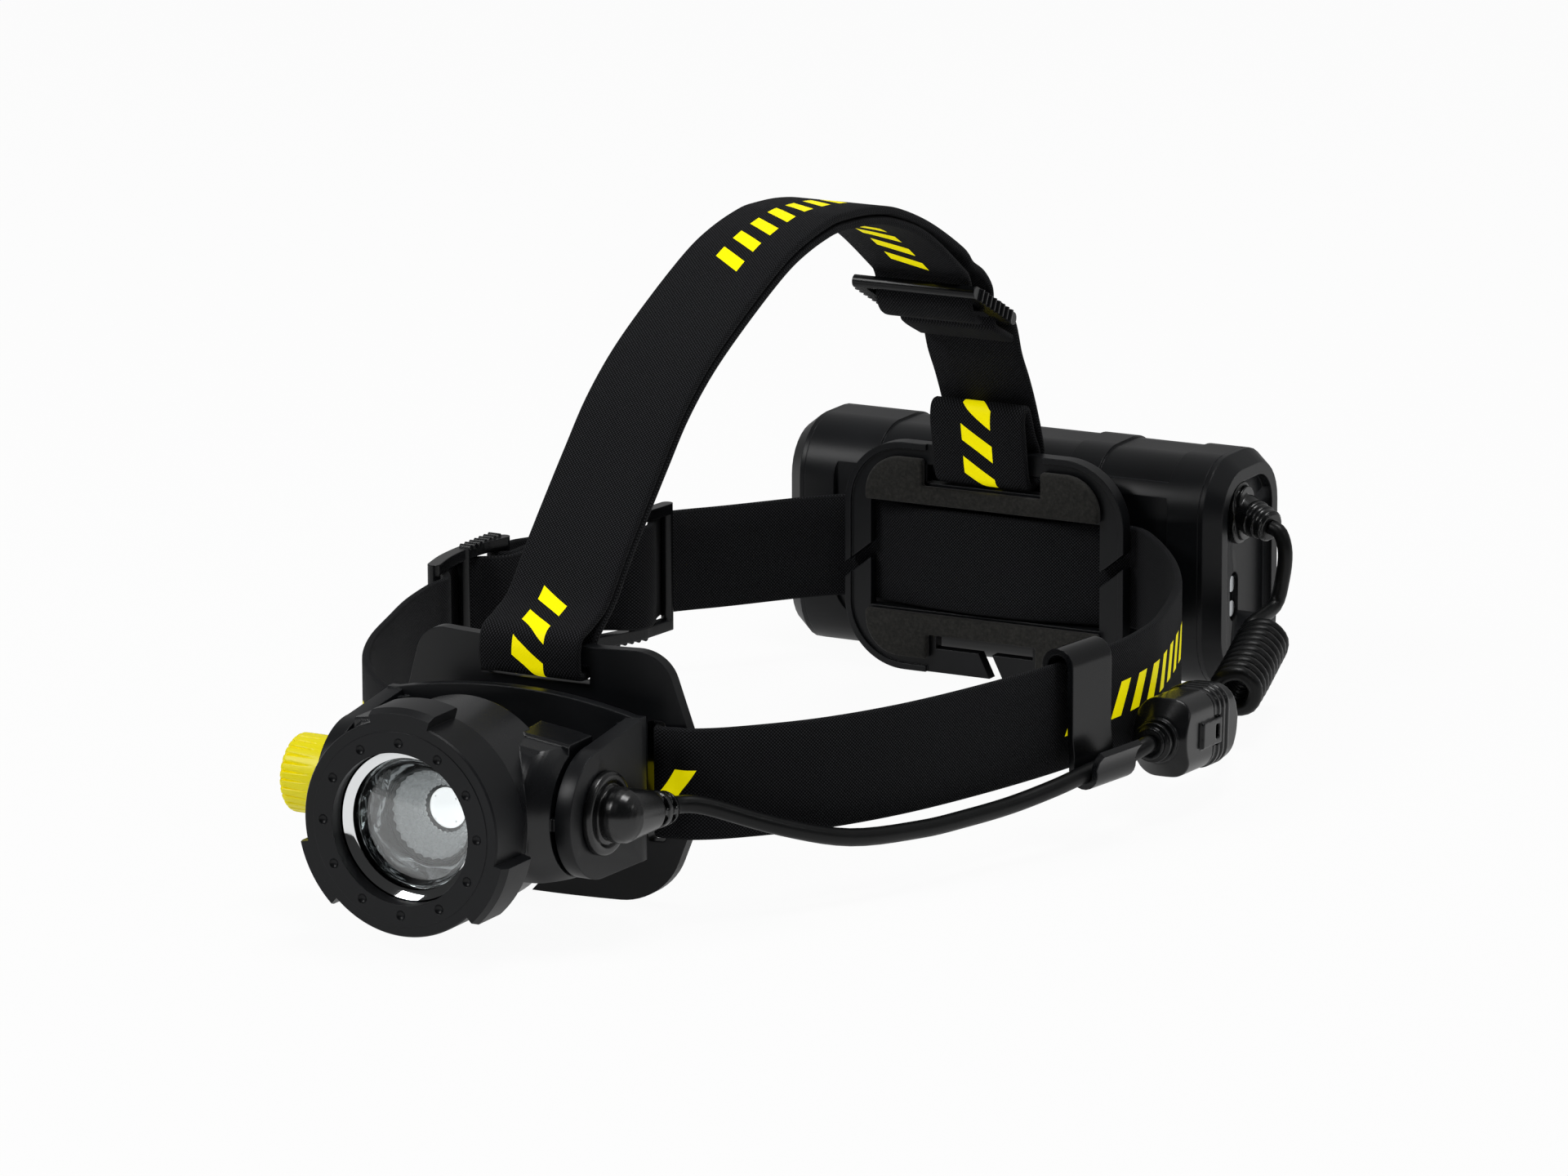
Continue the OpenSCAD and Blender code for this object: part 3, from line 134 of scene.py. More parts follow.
def smooth_route(points: list[Point], steps: int) -> list[Vector]:
    """Draws a smooth line through points, with the same curve as the solids follow.

    Args:
        points: The route's points, in millimetres.
        steps: How many steps lie between two points.

    Returns:
        The points of the smooth line.
    """
    route = [Vector(p) for p in points]
    last = len(route) - 1
    line = []
    for i in range(last):
        a, b, c, d = route[max(i - 1, 0)], route[i], route[i + 1], route[min(i + 2, last)]
        for k in range(steps):
            t = k / steps
            line.append(0.5 * (2 * b + (c - a) * t + (2 * a - 5 * b + 4 * c - d) * t * t
                               + (3 * b - a - 3 * c + d) * t**3))
    return line + [route[last]]


def lengths(line: list[Vector]) -> list[float]:
    """Gives the distance along a line at each of its points.

    Args:
        line: The line's points.

    Returns:
        The distances from its start.
    """
    total = [0.0]
    for a, b in zip(line, line[1:]):
        total.append(total[-1] + (b - a).length)
    return total


def add_object(name: str, data: bpy.types.ID) -> bpy.types.Object:
    """Adds an object to the scene.

    Args:
        name: Its name.
        data: Its mesh, lamp or camera.

    Returns:
        The new object.
    """
    made = bpy.data.objects.new(name, data)
    bpy.context.scene.collection.objects.link(made)
    return made


def settle(piece: bpy.types.Object, body: Body, slot: str, *nodes: str) -> None:
    """Puts a finished piece on the body that it rides on, and hides the solids that it stands for.

    Args:
        piece: The piece.
        body: The body that it rides on.
        slot: The record's material slot for the piece's finish. Not used.
        *nodes: The solids that it replaces.
    """
    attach(piece, body.value)
    if nodes:
        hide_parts(*nodes)
    LOG.info("%s on %s: %d faces", piece.name, body.value, len(piece.data.polygons))


def make_piece(name: str, points: list[Vector], faces: list[Face], finish: "Finish",
               sharp: float = 35) -> bpy.types.Object:
    """Makes a mesh object at the origin, with its place in its mesh.

    Args:
        name: The piece's name.
        points: Its points in millimetres.
        faces: Its faces, with their outer sides out.
        finish: What it is made of.
        sharp: The angle in degrees past which an edge stays sharp.

    Returns:
        The new object.
    """
    mesh = bpy.data.meshes.new(name)
    mesh.from_pydata([p * MM for p in points], [], faces)
    mesh.validate()
    mesh.shade_smooth()
    mesh.set_sharp_from_angle(angle=math.radians(sharp))
    mesh.materials.append(finish.material())
    return add_object(name, mesh)


def skin(rings: list[Ring], capped: bool = True) -> tuple[list[Vector], list[Face]]:
    """Joins rings of points into one skin.

    Args:
        rings: Rings with the same number of points, each running to the left of the way ahead.
        capped: Whether flat caps close the first and last ring.

    Returns:
        The points and the faces.
    """
    count = len(rings[0])
    points = [p for ring in rings for p in ring]
    faces = [
        (i * count + k, i * count + (k + 1) % count, (i + 1) * count + (k + 1) % count, (i + 1) * count + k)
        for i in range(len(rings) - 1)
        for k in range(count)
    ]
    if capped:
        faces.append(tuple(range(count - 1, -1, -1)))
        faces.append(tuple((len(rings) - 1) * count + k for k in range(count)))
    return points, faces


def round_lamp(r: float, y: float, angle: float) -> Vector:
    """Gives the point at a radius, a Y and an angle round the lamp's axis, which is the frame's Y."""
    return Vector((r * math.sin(angle), y, r * math.cos(angle)))


def turned(profile: list[Point], steps: int = 128) -> tuple[list[Vector], list[Face]]:
    """Turns a profile round the lamp's axis.

    Args:
        profile: Points of radius and Y. It starts and ends on the axis, or is a ring's closed section.
        steps: The number of sides.

    Returns:
        The points and the faces.
    """
    angles = [2 * math.pi * k / steps for k in range(steps)]
    if profile[0][0] > 0:
        sections = [[round_lamp(r, y, angle) for r, y in profile] for angle in angles]
        points, faces = skin(sections + sections[:1], capped=False)
        total = steps * len(profile)
        return points[:total], [tuple(v % total for v in face) for face in faces]
    inner = profile[1:-1]
    points, faces = skin([[round_lamp(r, y, angle) for angle in angles] for r, y in inner], capped=False)
    for start, (_, y), last in ((0, profile[0], False), ((len(inner) - 1) * steps, profile[-1], True)):
        pole = len(points)
        points.append(Vector((0, y, 0)))
        for k in range(steps):
            near, far = start + k, start + (k + 1) % steps
            faces.append((pole, near, far) if last else (pole, far, near))
    return points, faces


def tube(line: list[Vector], radius: float, sides: int) -> list[Ring]:
    """Sweeps a circle along a line without twisting it.

    Args:
        line: The centre line.
        radius: The circle's radius.
        sides: The number of sides.

    Returns:
        The rings of points.
    """
    rings = []
    side = FIRST_SIDE
    angles = [2 * math.pi * (k + 0.5) / sides for k in range(sides)]
    for i, centre in enumerate(line):
        way = (line[min(i + 1, len(line) - 1)] - line[max(i - 1, 0)]).normalized()
        side = (side - way * side.dot(way)).normalized()
        up = way.cross(side)
        rings.append([centre + (side * math.cos(t) + up * math.sin(t)) * radius for t in angles])
    return rings


# ---------- finishes ----------


@dataclass(frozen=True)
class Finish:
    """What a surface is made of, as a procedural material."""

    name: str
    colour: str

    def material(self) -> bpy.types.Material:
        """Gives the finish's material, which is made once.

        Returns:
            The material.
        """
        found = bpy.data.materials.get(self.name)
        if found:
            return found
        made = bpy.data.materials.new(self.name)
        made.use_nodes = True
        made.diffuse_color = linear(self.colour)
        tree = made.node_tree
        shader = tree.nodes["Principled BSDF"]
        self.paint(tree, shader)
        return made

    def paint(self, tree: bpy.types.NodeTree, shader: bpy.types.Node) -> None:
        """Sets up the shader's inputs.

        Args:
            tree: The material's tree.
            shader: Its shader.
        """
        raise NotImplementedError

    def link(self, tree: bpy.types.NodeTree, shader: bpy.types.Node, **values) -> None:
        """Sets or links inputs of the shader.

        Args:
            tree: The material's tree.
            shader: Its shader.
            **values: A value or an output for each input, named with underscores.
        """
        for name, value in values.items():
            socket = shader.inputs[name.replace("_", " ")]
            if isinstance(value, bpy.types.NodeSocket):
                tree.links.new(value, socket)
            else:
                socket.default_value = value


@dataclass(frozen=True)
class MouldedPlastic(Finish):
    """Injection-moulded ABS with a spark-eroded texture and dark faces, whose soft rounded edges carry a
    painted highlight.
    """

    # The paler colour of the painted edge highlight and of the random clouds
    edge_highlight_and_tone: str = "#26282c"
    roughness: float = 0.36
    specular: float = 0.26
    grain_mm: float = 0.35
    clouds_mm: float = 7.4
    grain_depth_mm: float = 0.02
    edge_mm: float = 0.4

    def paint(self, tree: bpy.types.NodeTree, shader: bpy.types.Node) -> None:
        """Paints dark plastic whose rounded edges carry a painted highlight, with random paler clouds.

        Args:
            tree: The material's tree.
            shader: Its shader.
        """
        place = add_node(tree, "ShaderNodeTexCoord").outputs["Object"]
        # The real grain is about 0.1 mm and is drawn coarser, so that it shows
        grain = add_node(tree, "ShaderNodeTexNoise", {"Vector": place, "Scale": grain_scale(self.grain_mm),
                                                      "Detail": 2.0, "Roughness": 0.6})
        clouds = add_node(tree, "ShaderNodeTexNoise", {"Vector": place,
                                                       "Scale": grain_scale(self.clouds_mm),
                                                       "Detail": 4.0})
        rounded = add_node(tree, "ShaderNodeBevel", {"Radius": self.edge_mm * MM}, samples=4)
        flat = add_node(tree, "ShaderNodeNewGeometry")
        along = add_node(tree, "ShaderNodeVectorMath", {0: rounded.outputs[0],
                                                        1: flat.outputs["True Normal"]},
                         operation="DOT_PRODUCT")
        # Painted highlight: the colour turns paler wherever the bevel rounds an edge
        edge = add_node(tree, "ShaderNodeMapRange", {"Value": along.outputs["Value"], "From Min": 0.995,
                                                     "From Max": 0.8, "To Min": 0.0, "To Max": 0.55})
        tone = add_node(tree, "ShaderNodeMapRange", {"Value": clouds.outputs["Fac"], "From Min": 0.3,
                                                     "From Max": 0.7, "To Min": 0.0, "To Max": 0.22})
        edge_highlight_and_tone = add_node(tree, "ShaderNodeMath", {0: edge.outputs[0], 1: tone.outputs[0]}, operation="ADD")
        colour = add_node(tree, "ShaderNodeMix", {0: edge_highlight_and_tone.outputs[0], 6: linear(self.colour),
                                                  7: linear(self.edge_highlight_and_tone)}, data_type="RGBA")
        rough = add_node(tree, "ShaderNodeMapRange", {"Value": clouds.outputs["Fac"],
                                                      "To Min": self.roughness - 0.05,
                                                      "To Max": self.roughness + 0.07})
        bump = add_node(tree, "ShaderNodeBump", {"Height": grain.outputs["Fac"], "Strength": 0.5,
                                                 "Distance": self.grain_depth_mm * MM,
                                                 "Normal": rounded.outputs[0]})
        self.link(tree, shader, Base_Color=colour.outputs[2], Roughness=rough.outputs[0],
                  Normal=bump.outputs[0], Specular_IOR_Level=self.specular)


@dataclass(frozen=True)
class WovenWebbing(Finish):
    """Woven elastic with a printed row of slanted bars: dull threads with a fine staggered grain."""

    # The paler colour of the raised threads, against the painted shade of the weave's hollows
    thread: str = "#343538"
    ink: str = "#fff200"
    faded_ink: str = "#f4e600"
    pitch_mm: float = 0.78
    depth_mm: float = 0.09
    fading_mm: float = 5.56
    # How strongly the ink glows, as painted light
    painted_ink_glow: float = 0.45

    def paint(self, tree: bpy.types.NodeTree, shader: bpy.types.Node) -> None:
        """Paints threads by the strap's own length and width, with painted shade in the weave's hollows and
        glowing ink over them.

        Args:
            tree: The material's tree.
            shader: Its shader.
        """
        weave = add_node(tree, "ShaderNodeUVMap", uv_map="weave")
        axes = add_node(tree, "ShaderNodeSeparateXYZ", {0: weave.outputs[0]})
        waves = []
        for name in ("X", "Y"):
            turn = add_node(tree, "ShaderNodeMath", {0: axes.outputs[name], 1: 2 * math.pi / self.pitch_mm},
                            operation="MULTIPLY")
            waves.append(add_node(tree, "ShaderNodeMath", {0: turn.outputs[0]}, operation="SINE").outputs[0])
        grid = add_node(tree, "ShaderNodeMath", {0: waves[0], 1: waves[1]}, operation="MULTIPLY")
        height = add_node(tree, "ShaderNodeMapRange", {"Value": grid.outputs[0], "From Min": -0.35,
                                                       "From Max": 0.8}, interpolation_type="SMOOTHSTEP")
        row = add_node(tree, "ShaderNodeUVMap", uv_map="print")
        place = add_node(tree, "ShaderNodeSeparateXYZ", {0: row.outputs[0]})
        count = add_node(tree, "ShaderNodeAttribute", attribute_name="bars")
        across = add_node(tree, "ShaderNodeMath", {0: place.outputs["Y"]}, operation="ABSOLUTE")
        inside = add_node(tree, "ShaderNodeMath", {0: across.outputs[0], 1: 1.0}, operation="LESS_THAN")
        after = add_node(tree, "ShaderNodeMath", {0: place.outputs["X"], 1: 0.0}, operation="GREATER_THAN")
        before = add_node(tree, "ShaderNodeMath", {0: place.outputs["X"], 1: count.outputs["Fac"]},
                          operation="LESS_THAN")
        part = add_node(tree, "ShaderNodeMath", {0: place.outputs["X"]}, operation="FRACT")
        bar = add_node(tree, "ShaderNodeMath", {0: part.outputs[0], 1: 0.5}, operation="LESS_THAN")
        mask = inside.outputs[0]
        for test in (after, before, bar):
            mask = add_node(tree, "ShaderNodeMath", {0: mask, 1: test.outputs[0]},
                            operation="MULTIPLY").outputs[0]
        solid = add_node(tree, "ShaderNodeTexCoord")
        fading = add_node(tree, "ShaderNodeTexNoise", {"Vector": solid.outputs["Object"],
                                                       "Scale": grain_scale(self.fading_mm)})
        # Painted shade: the weave's hollows take the dark colour, and its raised threads the paler thread
        # colour
        cloth = add_node(tree, "ShaderNodeMix", {0: height.outputs[0], 6: linear(self.colour),
                                                 7: linear(self.thread)}, data_type="RGBA")
        faded = add_node(tree, "ShaderNodeMix", {0: fading.outputs["Fac"], 6: linear(self.ink),
                                                 7: linear(self.faded_ink)}, data_type="RGBA")
        colour = add_node(tree, "ShaderNodeMix", {0: mask, 6: cloth.outputs[2], 7: faded.outputs[2]},
                          data_type="RGBA")
        rough = add_node(tree, "ShaderNodeMapRange", {"Value": mask, "To Min": 0.78, "To Max": 0.5})
        relief = add_node(tree, "ShaderNodeMapRange", {"Value": mask, "To Min": 0.9, "To Max": 0.25})
        bump = add_node(tree, "ShaderNodeBump", {"Height": height.outputs[0], "Strength": relief.outputs[0],
                                                 "Distance": self.depth_mm * MM})
        # Painted light: the ink glows, so that it stays bright on the side away from the lamps
        glow = add_node(tree, "ShaderNodeMath", {0: mask, 1: self.painted_ink_glow}, operation="MULTIPLY")
        self.link(tree, shader, Base_Color=colour.outputs[2], Roughness=rough.outputs[0],
                  Normal=bump.outputs[0], Specular_IOR_Level=0.1, Sheen_Weight=0.02, Sheen_Roughness=0.4,
                  Emission_Color=linear(self.ink), Emission_Strength=glow.outputs[0])


@dataclass(frozen=True)
class SpeckledFoam(Finish):
    """Die-cut EVA foam: a matt dark grey with small paler specks and a pitted skin."""

    speck: str = "#3a3936"
    specks_mm: float = 0.3
    dots_mm: float = 0.22
    pits_mm: float = 0.1

    def paint(self, tree: bpy.types.NodeTree, shader: bpy.types.Node) -> None:
        """Paints pale specks on the darker foam, with pits between them.

        Args:
            tree: The material's tree.
            shader: Its shader.
        """
        place = add_node(tree, "ShaderNodeTexCoord").outputs["Object"]
        specks = add_node(tree, "ShaderNodeTexNoise", {"Vector": place,
                                                       "Scale": grain_scale(self.specks_mm),
                                                       "Detail": 3.0, "Roughness": 0.7})
        dots = add_node(tree, "ShaderNodeTexNoise", {"Vector": place, "Scale": grain_scale(self.dots_mm),
                                                     "Detail": 2.0})
        both = add_node(tree, "ShaderNodeMath", {0: specks.outputs["Fac"], 1: dots.outputs["Fac"]},
                        operation="MULTIPLY")
        spread = add_node(tree, "ShaderNodeMapRange", {"Value": both.outputs[0], "From Min": 0.06,
                                                       "From Max": 0.5})
        colour = add_node(tree, "ShaderNodeMix", {0: spread.outputs[0], 6: linear(self.colour),
                                                  7: linear(self.speck)}, data_type="RGBA")
        bump = add_node(tree, "ShaderNodeBump", {"Height": specks.outputs["Fac"], "Strength": 0.5,
                                                 "Distance": self.pits_mm * MM})
        self.link(tree, shader, Base_Color=colour.outputs[2], Roughness=0.85, Normal=bump.outputs[0],
                  Specular_IOR_Level=0.2, Sheen_Weight=0.1)


@dataclass(frozen=True)
class Rubber(Finish):
    """Extruded or moulded rubber with a soft skin: deep black with long soft highlights."""

    dull: str = "#141516"
    roughness: float = 0.36
    specular: float = 0.35
    patches_mm: float = 1.5
    grain_mm: float = 0.13
    grain_depth_mm: float = 0.015

    def paint(self, tree: bpy.types.NodeTree, shader: bpy.types.Node) -> None:
        """Paints a nearly even black with faint dull patches.

        Args:
            tree: The material's tree.
            shader: Its shader.
        """
        place = add_node(tree, "ShaderNodeTexCoord").outputs["Object"]
        patches = add_node(tree, "ShaderNodeTexNoise", {"Vector": place,
                                                        "Scale": grain_scale(self.patches_mm),
                                                        "Detail": 3.0})
        fine = add_node(tree, "ShaderNodeTexNoise", {"Vector": place, "Scale": grain_scale(self.grain_mm),
                                                     "Detail": 1.0})
        colour = add_node(tree, "ShaderNodeMix", {0: patches.outputs["Fac"], 6: linear(self.colour),
                                                  7: linear(self.dull)}, data_type="RGBA")
        rough = add_node(tree, "ShaderNodeMapRange", {"Value": patches.outputs["Fac"],
                                                      "To Min": self.roughness - 0.06,
                                                      "To Max": self.roughness + 0.08})
        bump = add_node(tree, "ShaderNodeBump", {"Height": fine.outputs["Fac"], "Strength": 0.3,
                                                 "Distance": self.grain_depth_mm * MM})
        self.link(tree, shader, Base_Color=colour.outputs[2], Roughness=rough.outputs[0],
                  Normal=bump.outputs[0], Specular_IOR_Level=self.specular)


@dataclass(frozen=True)
class Metal(Finish):
    """Bare or plated metal, turned or brushed, with fine marks that stretch its highlights."""

    roughness: float = 0.25
    marks_mm: float = 0.2
    marks_depth_mm: float = 0.01
    stretch: tuple[float, float, float] = (1, 1, 1)

    def paint(self, tree: bpy.types.NodeTree, shader: bpy.types.Node) -> None:
        """Paints metal with marks that run along its least stretched axis.

        Args:
            tree: The material's tree.
            shader: Its shader.
        """
        place = add_node(tree, "ShaderNodeTexCoord").outputs["Object"]
        grain = add_node(tree, "ShaderNodeMapping", {"Vector": place, "Scale": self.stretch})
        marks = add_node(tree, "ShaderNodeTexNoise", {"Vector": grain.outputs[0],
                                                      "Scale": 1000 / self.marks_mm, "Detail": 2.0})
        rough = add_node(tree, "ShaderNodeMapRange", {"Value": marks.outputs["Fac"],
                                                      "To Min": self.roughness * 0.7,
                                                      "To Max": self.roughness * 1.3})
        bump = add_node(tree, "ShaderNodeBump", {"Height": marks.outputs["Fac"], "Strength": 0.15,
                                                 "Distance": self.marks_depth_mm * MM})
        self.link(tree, shader, Base_Color=linear(self.colour), Metallic=1.0, Roughness=rough.outputs[0],
                  Normal=bump.outputs[0])


@dataclass(frozen=True)
class ClearPlastic(Finish):
    """Polished polycarbonate, clear, with a little dust in its roughness."""

    haze: float = 0.02
    dust_mm: float = 0.48

    def paint(self, tree: bpy.types.NodeTree, shader: bpy.types.Node) -> None:
        """Paints clear plastic.

        Args:
            tree: The material's tree.
            shader: Its shader.
        """
        place = add_node(tree, "ShaderNodeTexCoord").outputs["Object"]
        dust = add_node(tree, "ShaderNodeTexNoise", {"Vector": place, "Scale": grain_scale(self.dust_mm),
                                                     "Detail": 2.0})
        rough = add_node(tree, "ShaderNodeMapRange", {"Value": dust.outputs["Fac"], "To Min": 0.0,
                                                      "To Max": self.haze * 2})
        self.link(tree, shader, Base_Color=linear(self.colour), Roughness=rough.outputs[0],
                  Transmission_Weight=1.0, IOR=1.585)


@dataclass(frozen=True)
class GlossPart(Finish):
    """Small moulded, lacquered or wrapped parts with an even gloss and faint clouding, and on some of them a
    painted glow.
    """

    second: str = "#000000"
    roughness: float = 0.3
    # How strongly the part glows, as painted light
    glow: float = 0.0
    clouds_mm: float = 1.1
    clouds_depth_mm: float = 0.02

    def paint(self, tree: bpy.types.NodeTree, shader: bpy.types.Node) -> None:
        """Paints a glossy colour that drifts a little towards a second one.

        Args:
            tree: The material's tree.
            shader: Its shader.
        """
        place = add_node(tree, "ShaderNodeTexCoord").outputs["Object"]
        clouds = add_node(tree, "ShaderNodeTexNoise", {"Vector": place,
                                                       "Scale": grain_scale(self.clouds_mm),
                                                       "Detail": 3.0})
        amount = add_node(tree, "ShaderNodeMapRange", {"Value": clouds.outputs["Fac"], "To Min": 0.0,
                                                       "To Max": 0.3})
        colour = add_node(tree, "ShaderNodeMix", {0: amount.outputs[0], 6: linear(self.colour),
                                                  7: linear(self.second)}, data_type="RGBA")
        bump = add_node(tree, "ShaderNodeBump", {"Height": clouds.outputs["Fac"], "Strength": 0.2,
                                                 "Distance": self.clouds_depth_mm * MM})
        self.link(tree, shader, Base_Color=colour.outputs[2], Roughness=self.roughness,
                  Normal=bump.outputs[0])
        # Painted light: the part glows in its own colour, which keeps it bright where little light falls
        if self.glow:
            self.link(tree, shader, Emission_Color=linear(self.colour), Emission_Strength=self.glow)


@dataclass(frozen=True)
class RippledGlass(Finish):
    """The inside of a clear moulded funnel, which mirrors its surroundings in long curved ripples, with
    painted reflections of dark patches and bright arcs in its colour.
    """

    # The dark colour of the painted reflections, which run from it to the finish's pale colour
    dark: str = "#0b0c0d"
    ripple_mm: float = 4.0
    depth_mm: float = 0.9
    arc_mm: float = 5.71

    def paint(self, tree: bpy.types.NodeTree, shader: bpy.types.Node) -> None:
        """Paints a mirror with ripples that bend its picture, and painted reflections in its colour: dark
        patches and thin bright arcs.

        Args:
            tree: The material's tree.
            shader: Its shader.
        """
        place = add_node(tree, "ShaderNodeTexCoord").outputs["Object"]
        ripples = add_node(tree, "ShaderNodeTexNoise", {"Vector": place,
                                                        "Scale": grain_scale(self.ripple_mm),
                                                        "Detail": 1.5, "Distortion": 2.2})
        # A ring texture turns through 20 radians in its unit, so that a ring is pi / 10 of it
        arcs = add_node(tree, "ShaderNodeTexWave", {"Vector": place, "Scale": 100 * math.pi / self.arc_mm,
                                                    "Distortion": 9.0, "Detail": 2.0, "Detail Scale": 1.2},
                        wave_type="RINGS", rings_direction="X")
        # Painted reflection: thin bright arcs where the rings crest
        line = add_node(tree, "ShaderNodeMapRange", {"Value": arcs.outputs["Fac"], "From Min": 0.8,
                                                     "From Max": 0.97}, interpolation_type="SMOOTHSTEP")
        # Painted reflection: darker and paler patches that follow the ripples
        shade = add_node(tree, "ShaderNodeMapRange", {"Value": ripples.outputs["Fac"], "From Min": 0.42,
                                                      "From Max": 0.62, "To Max": 0.55})
        both = add_node(tree, "ShaderNodeMath", {0: line.outputs[0], 1: shade.outputs[0]},
                        operation="MAXIMUM")
        colour = add_node(tree, "ShaderNodeMix", {0: both.outputs[0], 6: linear(self.dark),
                                                  7: linear(self.colour)}, data_type="RGBA")
        bump = add_node(tree, "ShaderNodeBump", {"Height": ripples.outputs["Fac"], "Strength": 1.0,
                                                 "Distance": self.depth_mm * MM})
        self.link(tree, shader, Base_Color=colour.outputs[2], Metallic=1.0, Roughness=0.06,
                  Normal=bump.outputs[0])


BLACK_ABS = MouldedPlastic("moulded_black_abs", "#101113")
BARREL_BLACK = MouldedPlastic("satin_black_barrel", "#0d0e10", roughness=0.25, specular=0.5,
                              grain_depth_mm=0.008)
GLOSS_BLACK = MouldedPlastic("glossy_black_nylon", "#0b0c0d", roughness=0.22, specular=0.3,
                             grain_depth_mm=0.006)
RING_BLACK = MouldedPlastic("moulded_black_ring", "#101113", edge_mm=0.18)
WEBBING = WovenWebbing("woven_black_webbing", "#060607")
PAD_FOAM = SpeckledFoam("speckled_eva_foam", "#1d1d1c")
CORD_RUBBER = Rubber("black_cord_rubber", "#08090a", specular=0.25)
RELIEF_RUBBER = Rubber("black_moulded_relief", "#08090a", roughness=0.25, specular=0.6)
SEAL_RUBBER = Rubber("black_seal_rubber", "#0b0b0c", roughness=0.5)
# Painted light: the knob glows a little, so that its yellow stays bright on its shaded side
KNOB_YELLOW = GlossPart("yellow_moulded_abs", "#fff200", second="#f2de00", roughness=0.4, glow=0.12)
STEEL = Metal("brushed_stainless_steel", "#c2c5c8", roughness=0.28, stretch=(1, 1, 8))
CHROME = Metal("chromed_trim", "#f1f3f4", roughness=0.05, marks_mm=0.5)
ALUMINIUM = Metal("machined_aluminium", "#c9ccd0", roughness=0.35, stretch=(8, 1, 1))
BRASS = Metal("plated_brass", "#d2ab56", roughness=0.25)
WINDOW_CLEAR = ClearPlastic("clear_polycarbonate", "#fbfdfd", haze=0.01)
OPTIC_CLEAR = ClearPlastic("clear_optic", "#f7fafb", haze=0.02)
BOARD_GREEN = GlossPart("green_circuit_board", "#1f6b3a", second="#0f3d20", roughness=0.35)
CELL_BLUE = GlossPart("blue_cell_wrap", "#2f62a3", second="#1d4273", roughness=0.25)
LED_WHITE = GlossPart("white_led_board", "#f2f1ea", second="#e2e0d6", roughness=0.4)
# Painted light: the LED's dome glows white, as a glint in the optic
LED_DOME = GlossPart("white_led_dome", "#ffffff", second="#f4f6f8", roughness=0.1, glow=1.0)
# Painted highlight: the cells are pale and glow, standing in for the light that their facets catch
CELL_PAINTED_HIGHLIGHT = GlossPart("reflector_cell_painted_highlight", "#c9cbcc", second="#6d7072", roughness=0.1, glow=0.2)
# Painted shade: the bowl between the cells is dark, so that each cell is outlined in dark lines
CELL_GAP = GlossPart("reflector_gap", "#1d1e1f", second="#0d0e0f", roughness=0.3)
FUNNEL = RippledGlass("rippled_optic_wall", "#eef0f1")

NODE_FINISHES: dict[str, Finish] = {
    "front_plate": BLACK_ABS, "tilt_bracket": BLACK_ABS, "bracket_screws": STEEL,
    "lamp_housing": BARREL_BLACK, "rear_cover": BLACK_ABS, "heat_sink": ALUMINIUM, "led_module": LED_WHITE,
    "driver_board": BOARD_GREEN, "rotary_switch": BLACK_ABS, "ring_seal": SEAL_RUBBER,
    "focus_ring": RING_BLACK, "lens_trim_ring": CHROME, "front_window": WINDOW_CLEAR,
    "lens_carrier": GLOSS_BLACK, "focus_optic": OPTIC_CLEAR, "knob_bushing": SEAL_RUBBER,
    "switch_plunger": BRASS, "knob_shaft": STEEL, "dimmer_knob": KNOB_YELLOW,
    "lamp_strain_relief": RELIEF_RUBBER, "headband": WEBBING, "front_slider": GLOSS_BLACK,
    "rear_slider": GLOSS_BLACK, "crown_strap": WEBBING, "crown_slider": GLOSS_BLACK, "rear_strap": WEBBING,
    "rear_plate_upper": BLACK_ABS, "rear_plate_lower": BLACK_ABS, "forehead_pad_upper": PAD_FOAM,
    "forehead_pad_lower": PAD_FOAM, "rear_pad_upper": PAD_FOAM, "rear_pad_lower": PAD_FOAM,
    "plate_screws": STEEL, "battery_case": BLACK_ABS, "end_cap_left": BLACK_ABS,
    "end_cap_right": BLACK_ABS, "cap_gaskets": SEAL_RUBBER, "cell_upper": CELL_BLUE,
    "cell_lower": CELL_BLUE, "cell_cradles": BLACK_ABS, "cell_links": BRASS, "power_board": BOARD_GREEN,
    "charge_contacts": STEEL, "battery_strain_relief": RELIEF_RUBBER, "cable_clip": GLOSS_BLACK,
    "lamp_cable": CORD_RUBBER, "cable_plug": GLOSS_BLACK, "cable_socket": GLOSS_BLACK,
    "plug_lead": CORD_RUBBER, "curly_cable": CORD_RUBBER, "battery_lead": CORD_RUBBER,
}


def dress_solids() -> None:
    """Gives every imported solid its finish."""
    for name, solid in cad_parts.items():
        material = NODE_FINISHES[name].material()
        if not solid.material_slots:
            solid.data.materials.append(material)
        for index in range(len(solid.material_slots)):
            solid.material_slots[index].material = material
        LOG.info("%s: %s", name, material.name)


# ---------- straps ----------

# A face belongs to a strap's flat side within this distance of it, and no bar reaches this place
FLAT_MM = 0.01
OFF_PRINT = (-5.0, 9.0)


@dataclass(frozen=True)
class BarRow:
    """A printed row of slanted bars on a strap, whose gaps are as wide as its bars.

    The last bar's pitch is cut short by last_gap of it. A face within margin_mm of the row belongs to
    it too, because a slanted bar reaches past the row's own length.
    """

    first_mm: float
    count: int
    pitch_mm: float = 8.35
    slant: float = -0.67
    middle_mm: float = -0.1
    half_mm: float = 3.9
    margin_mm: float = 4.0
    last_gap: float = 0.4


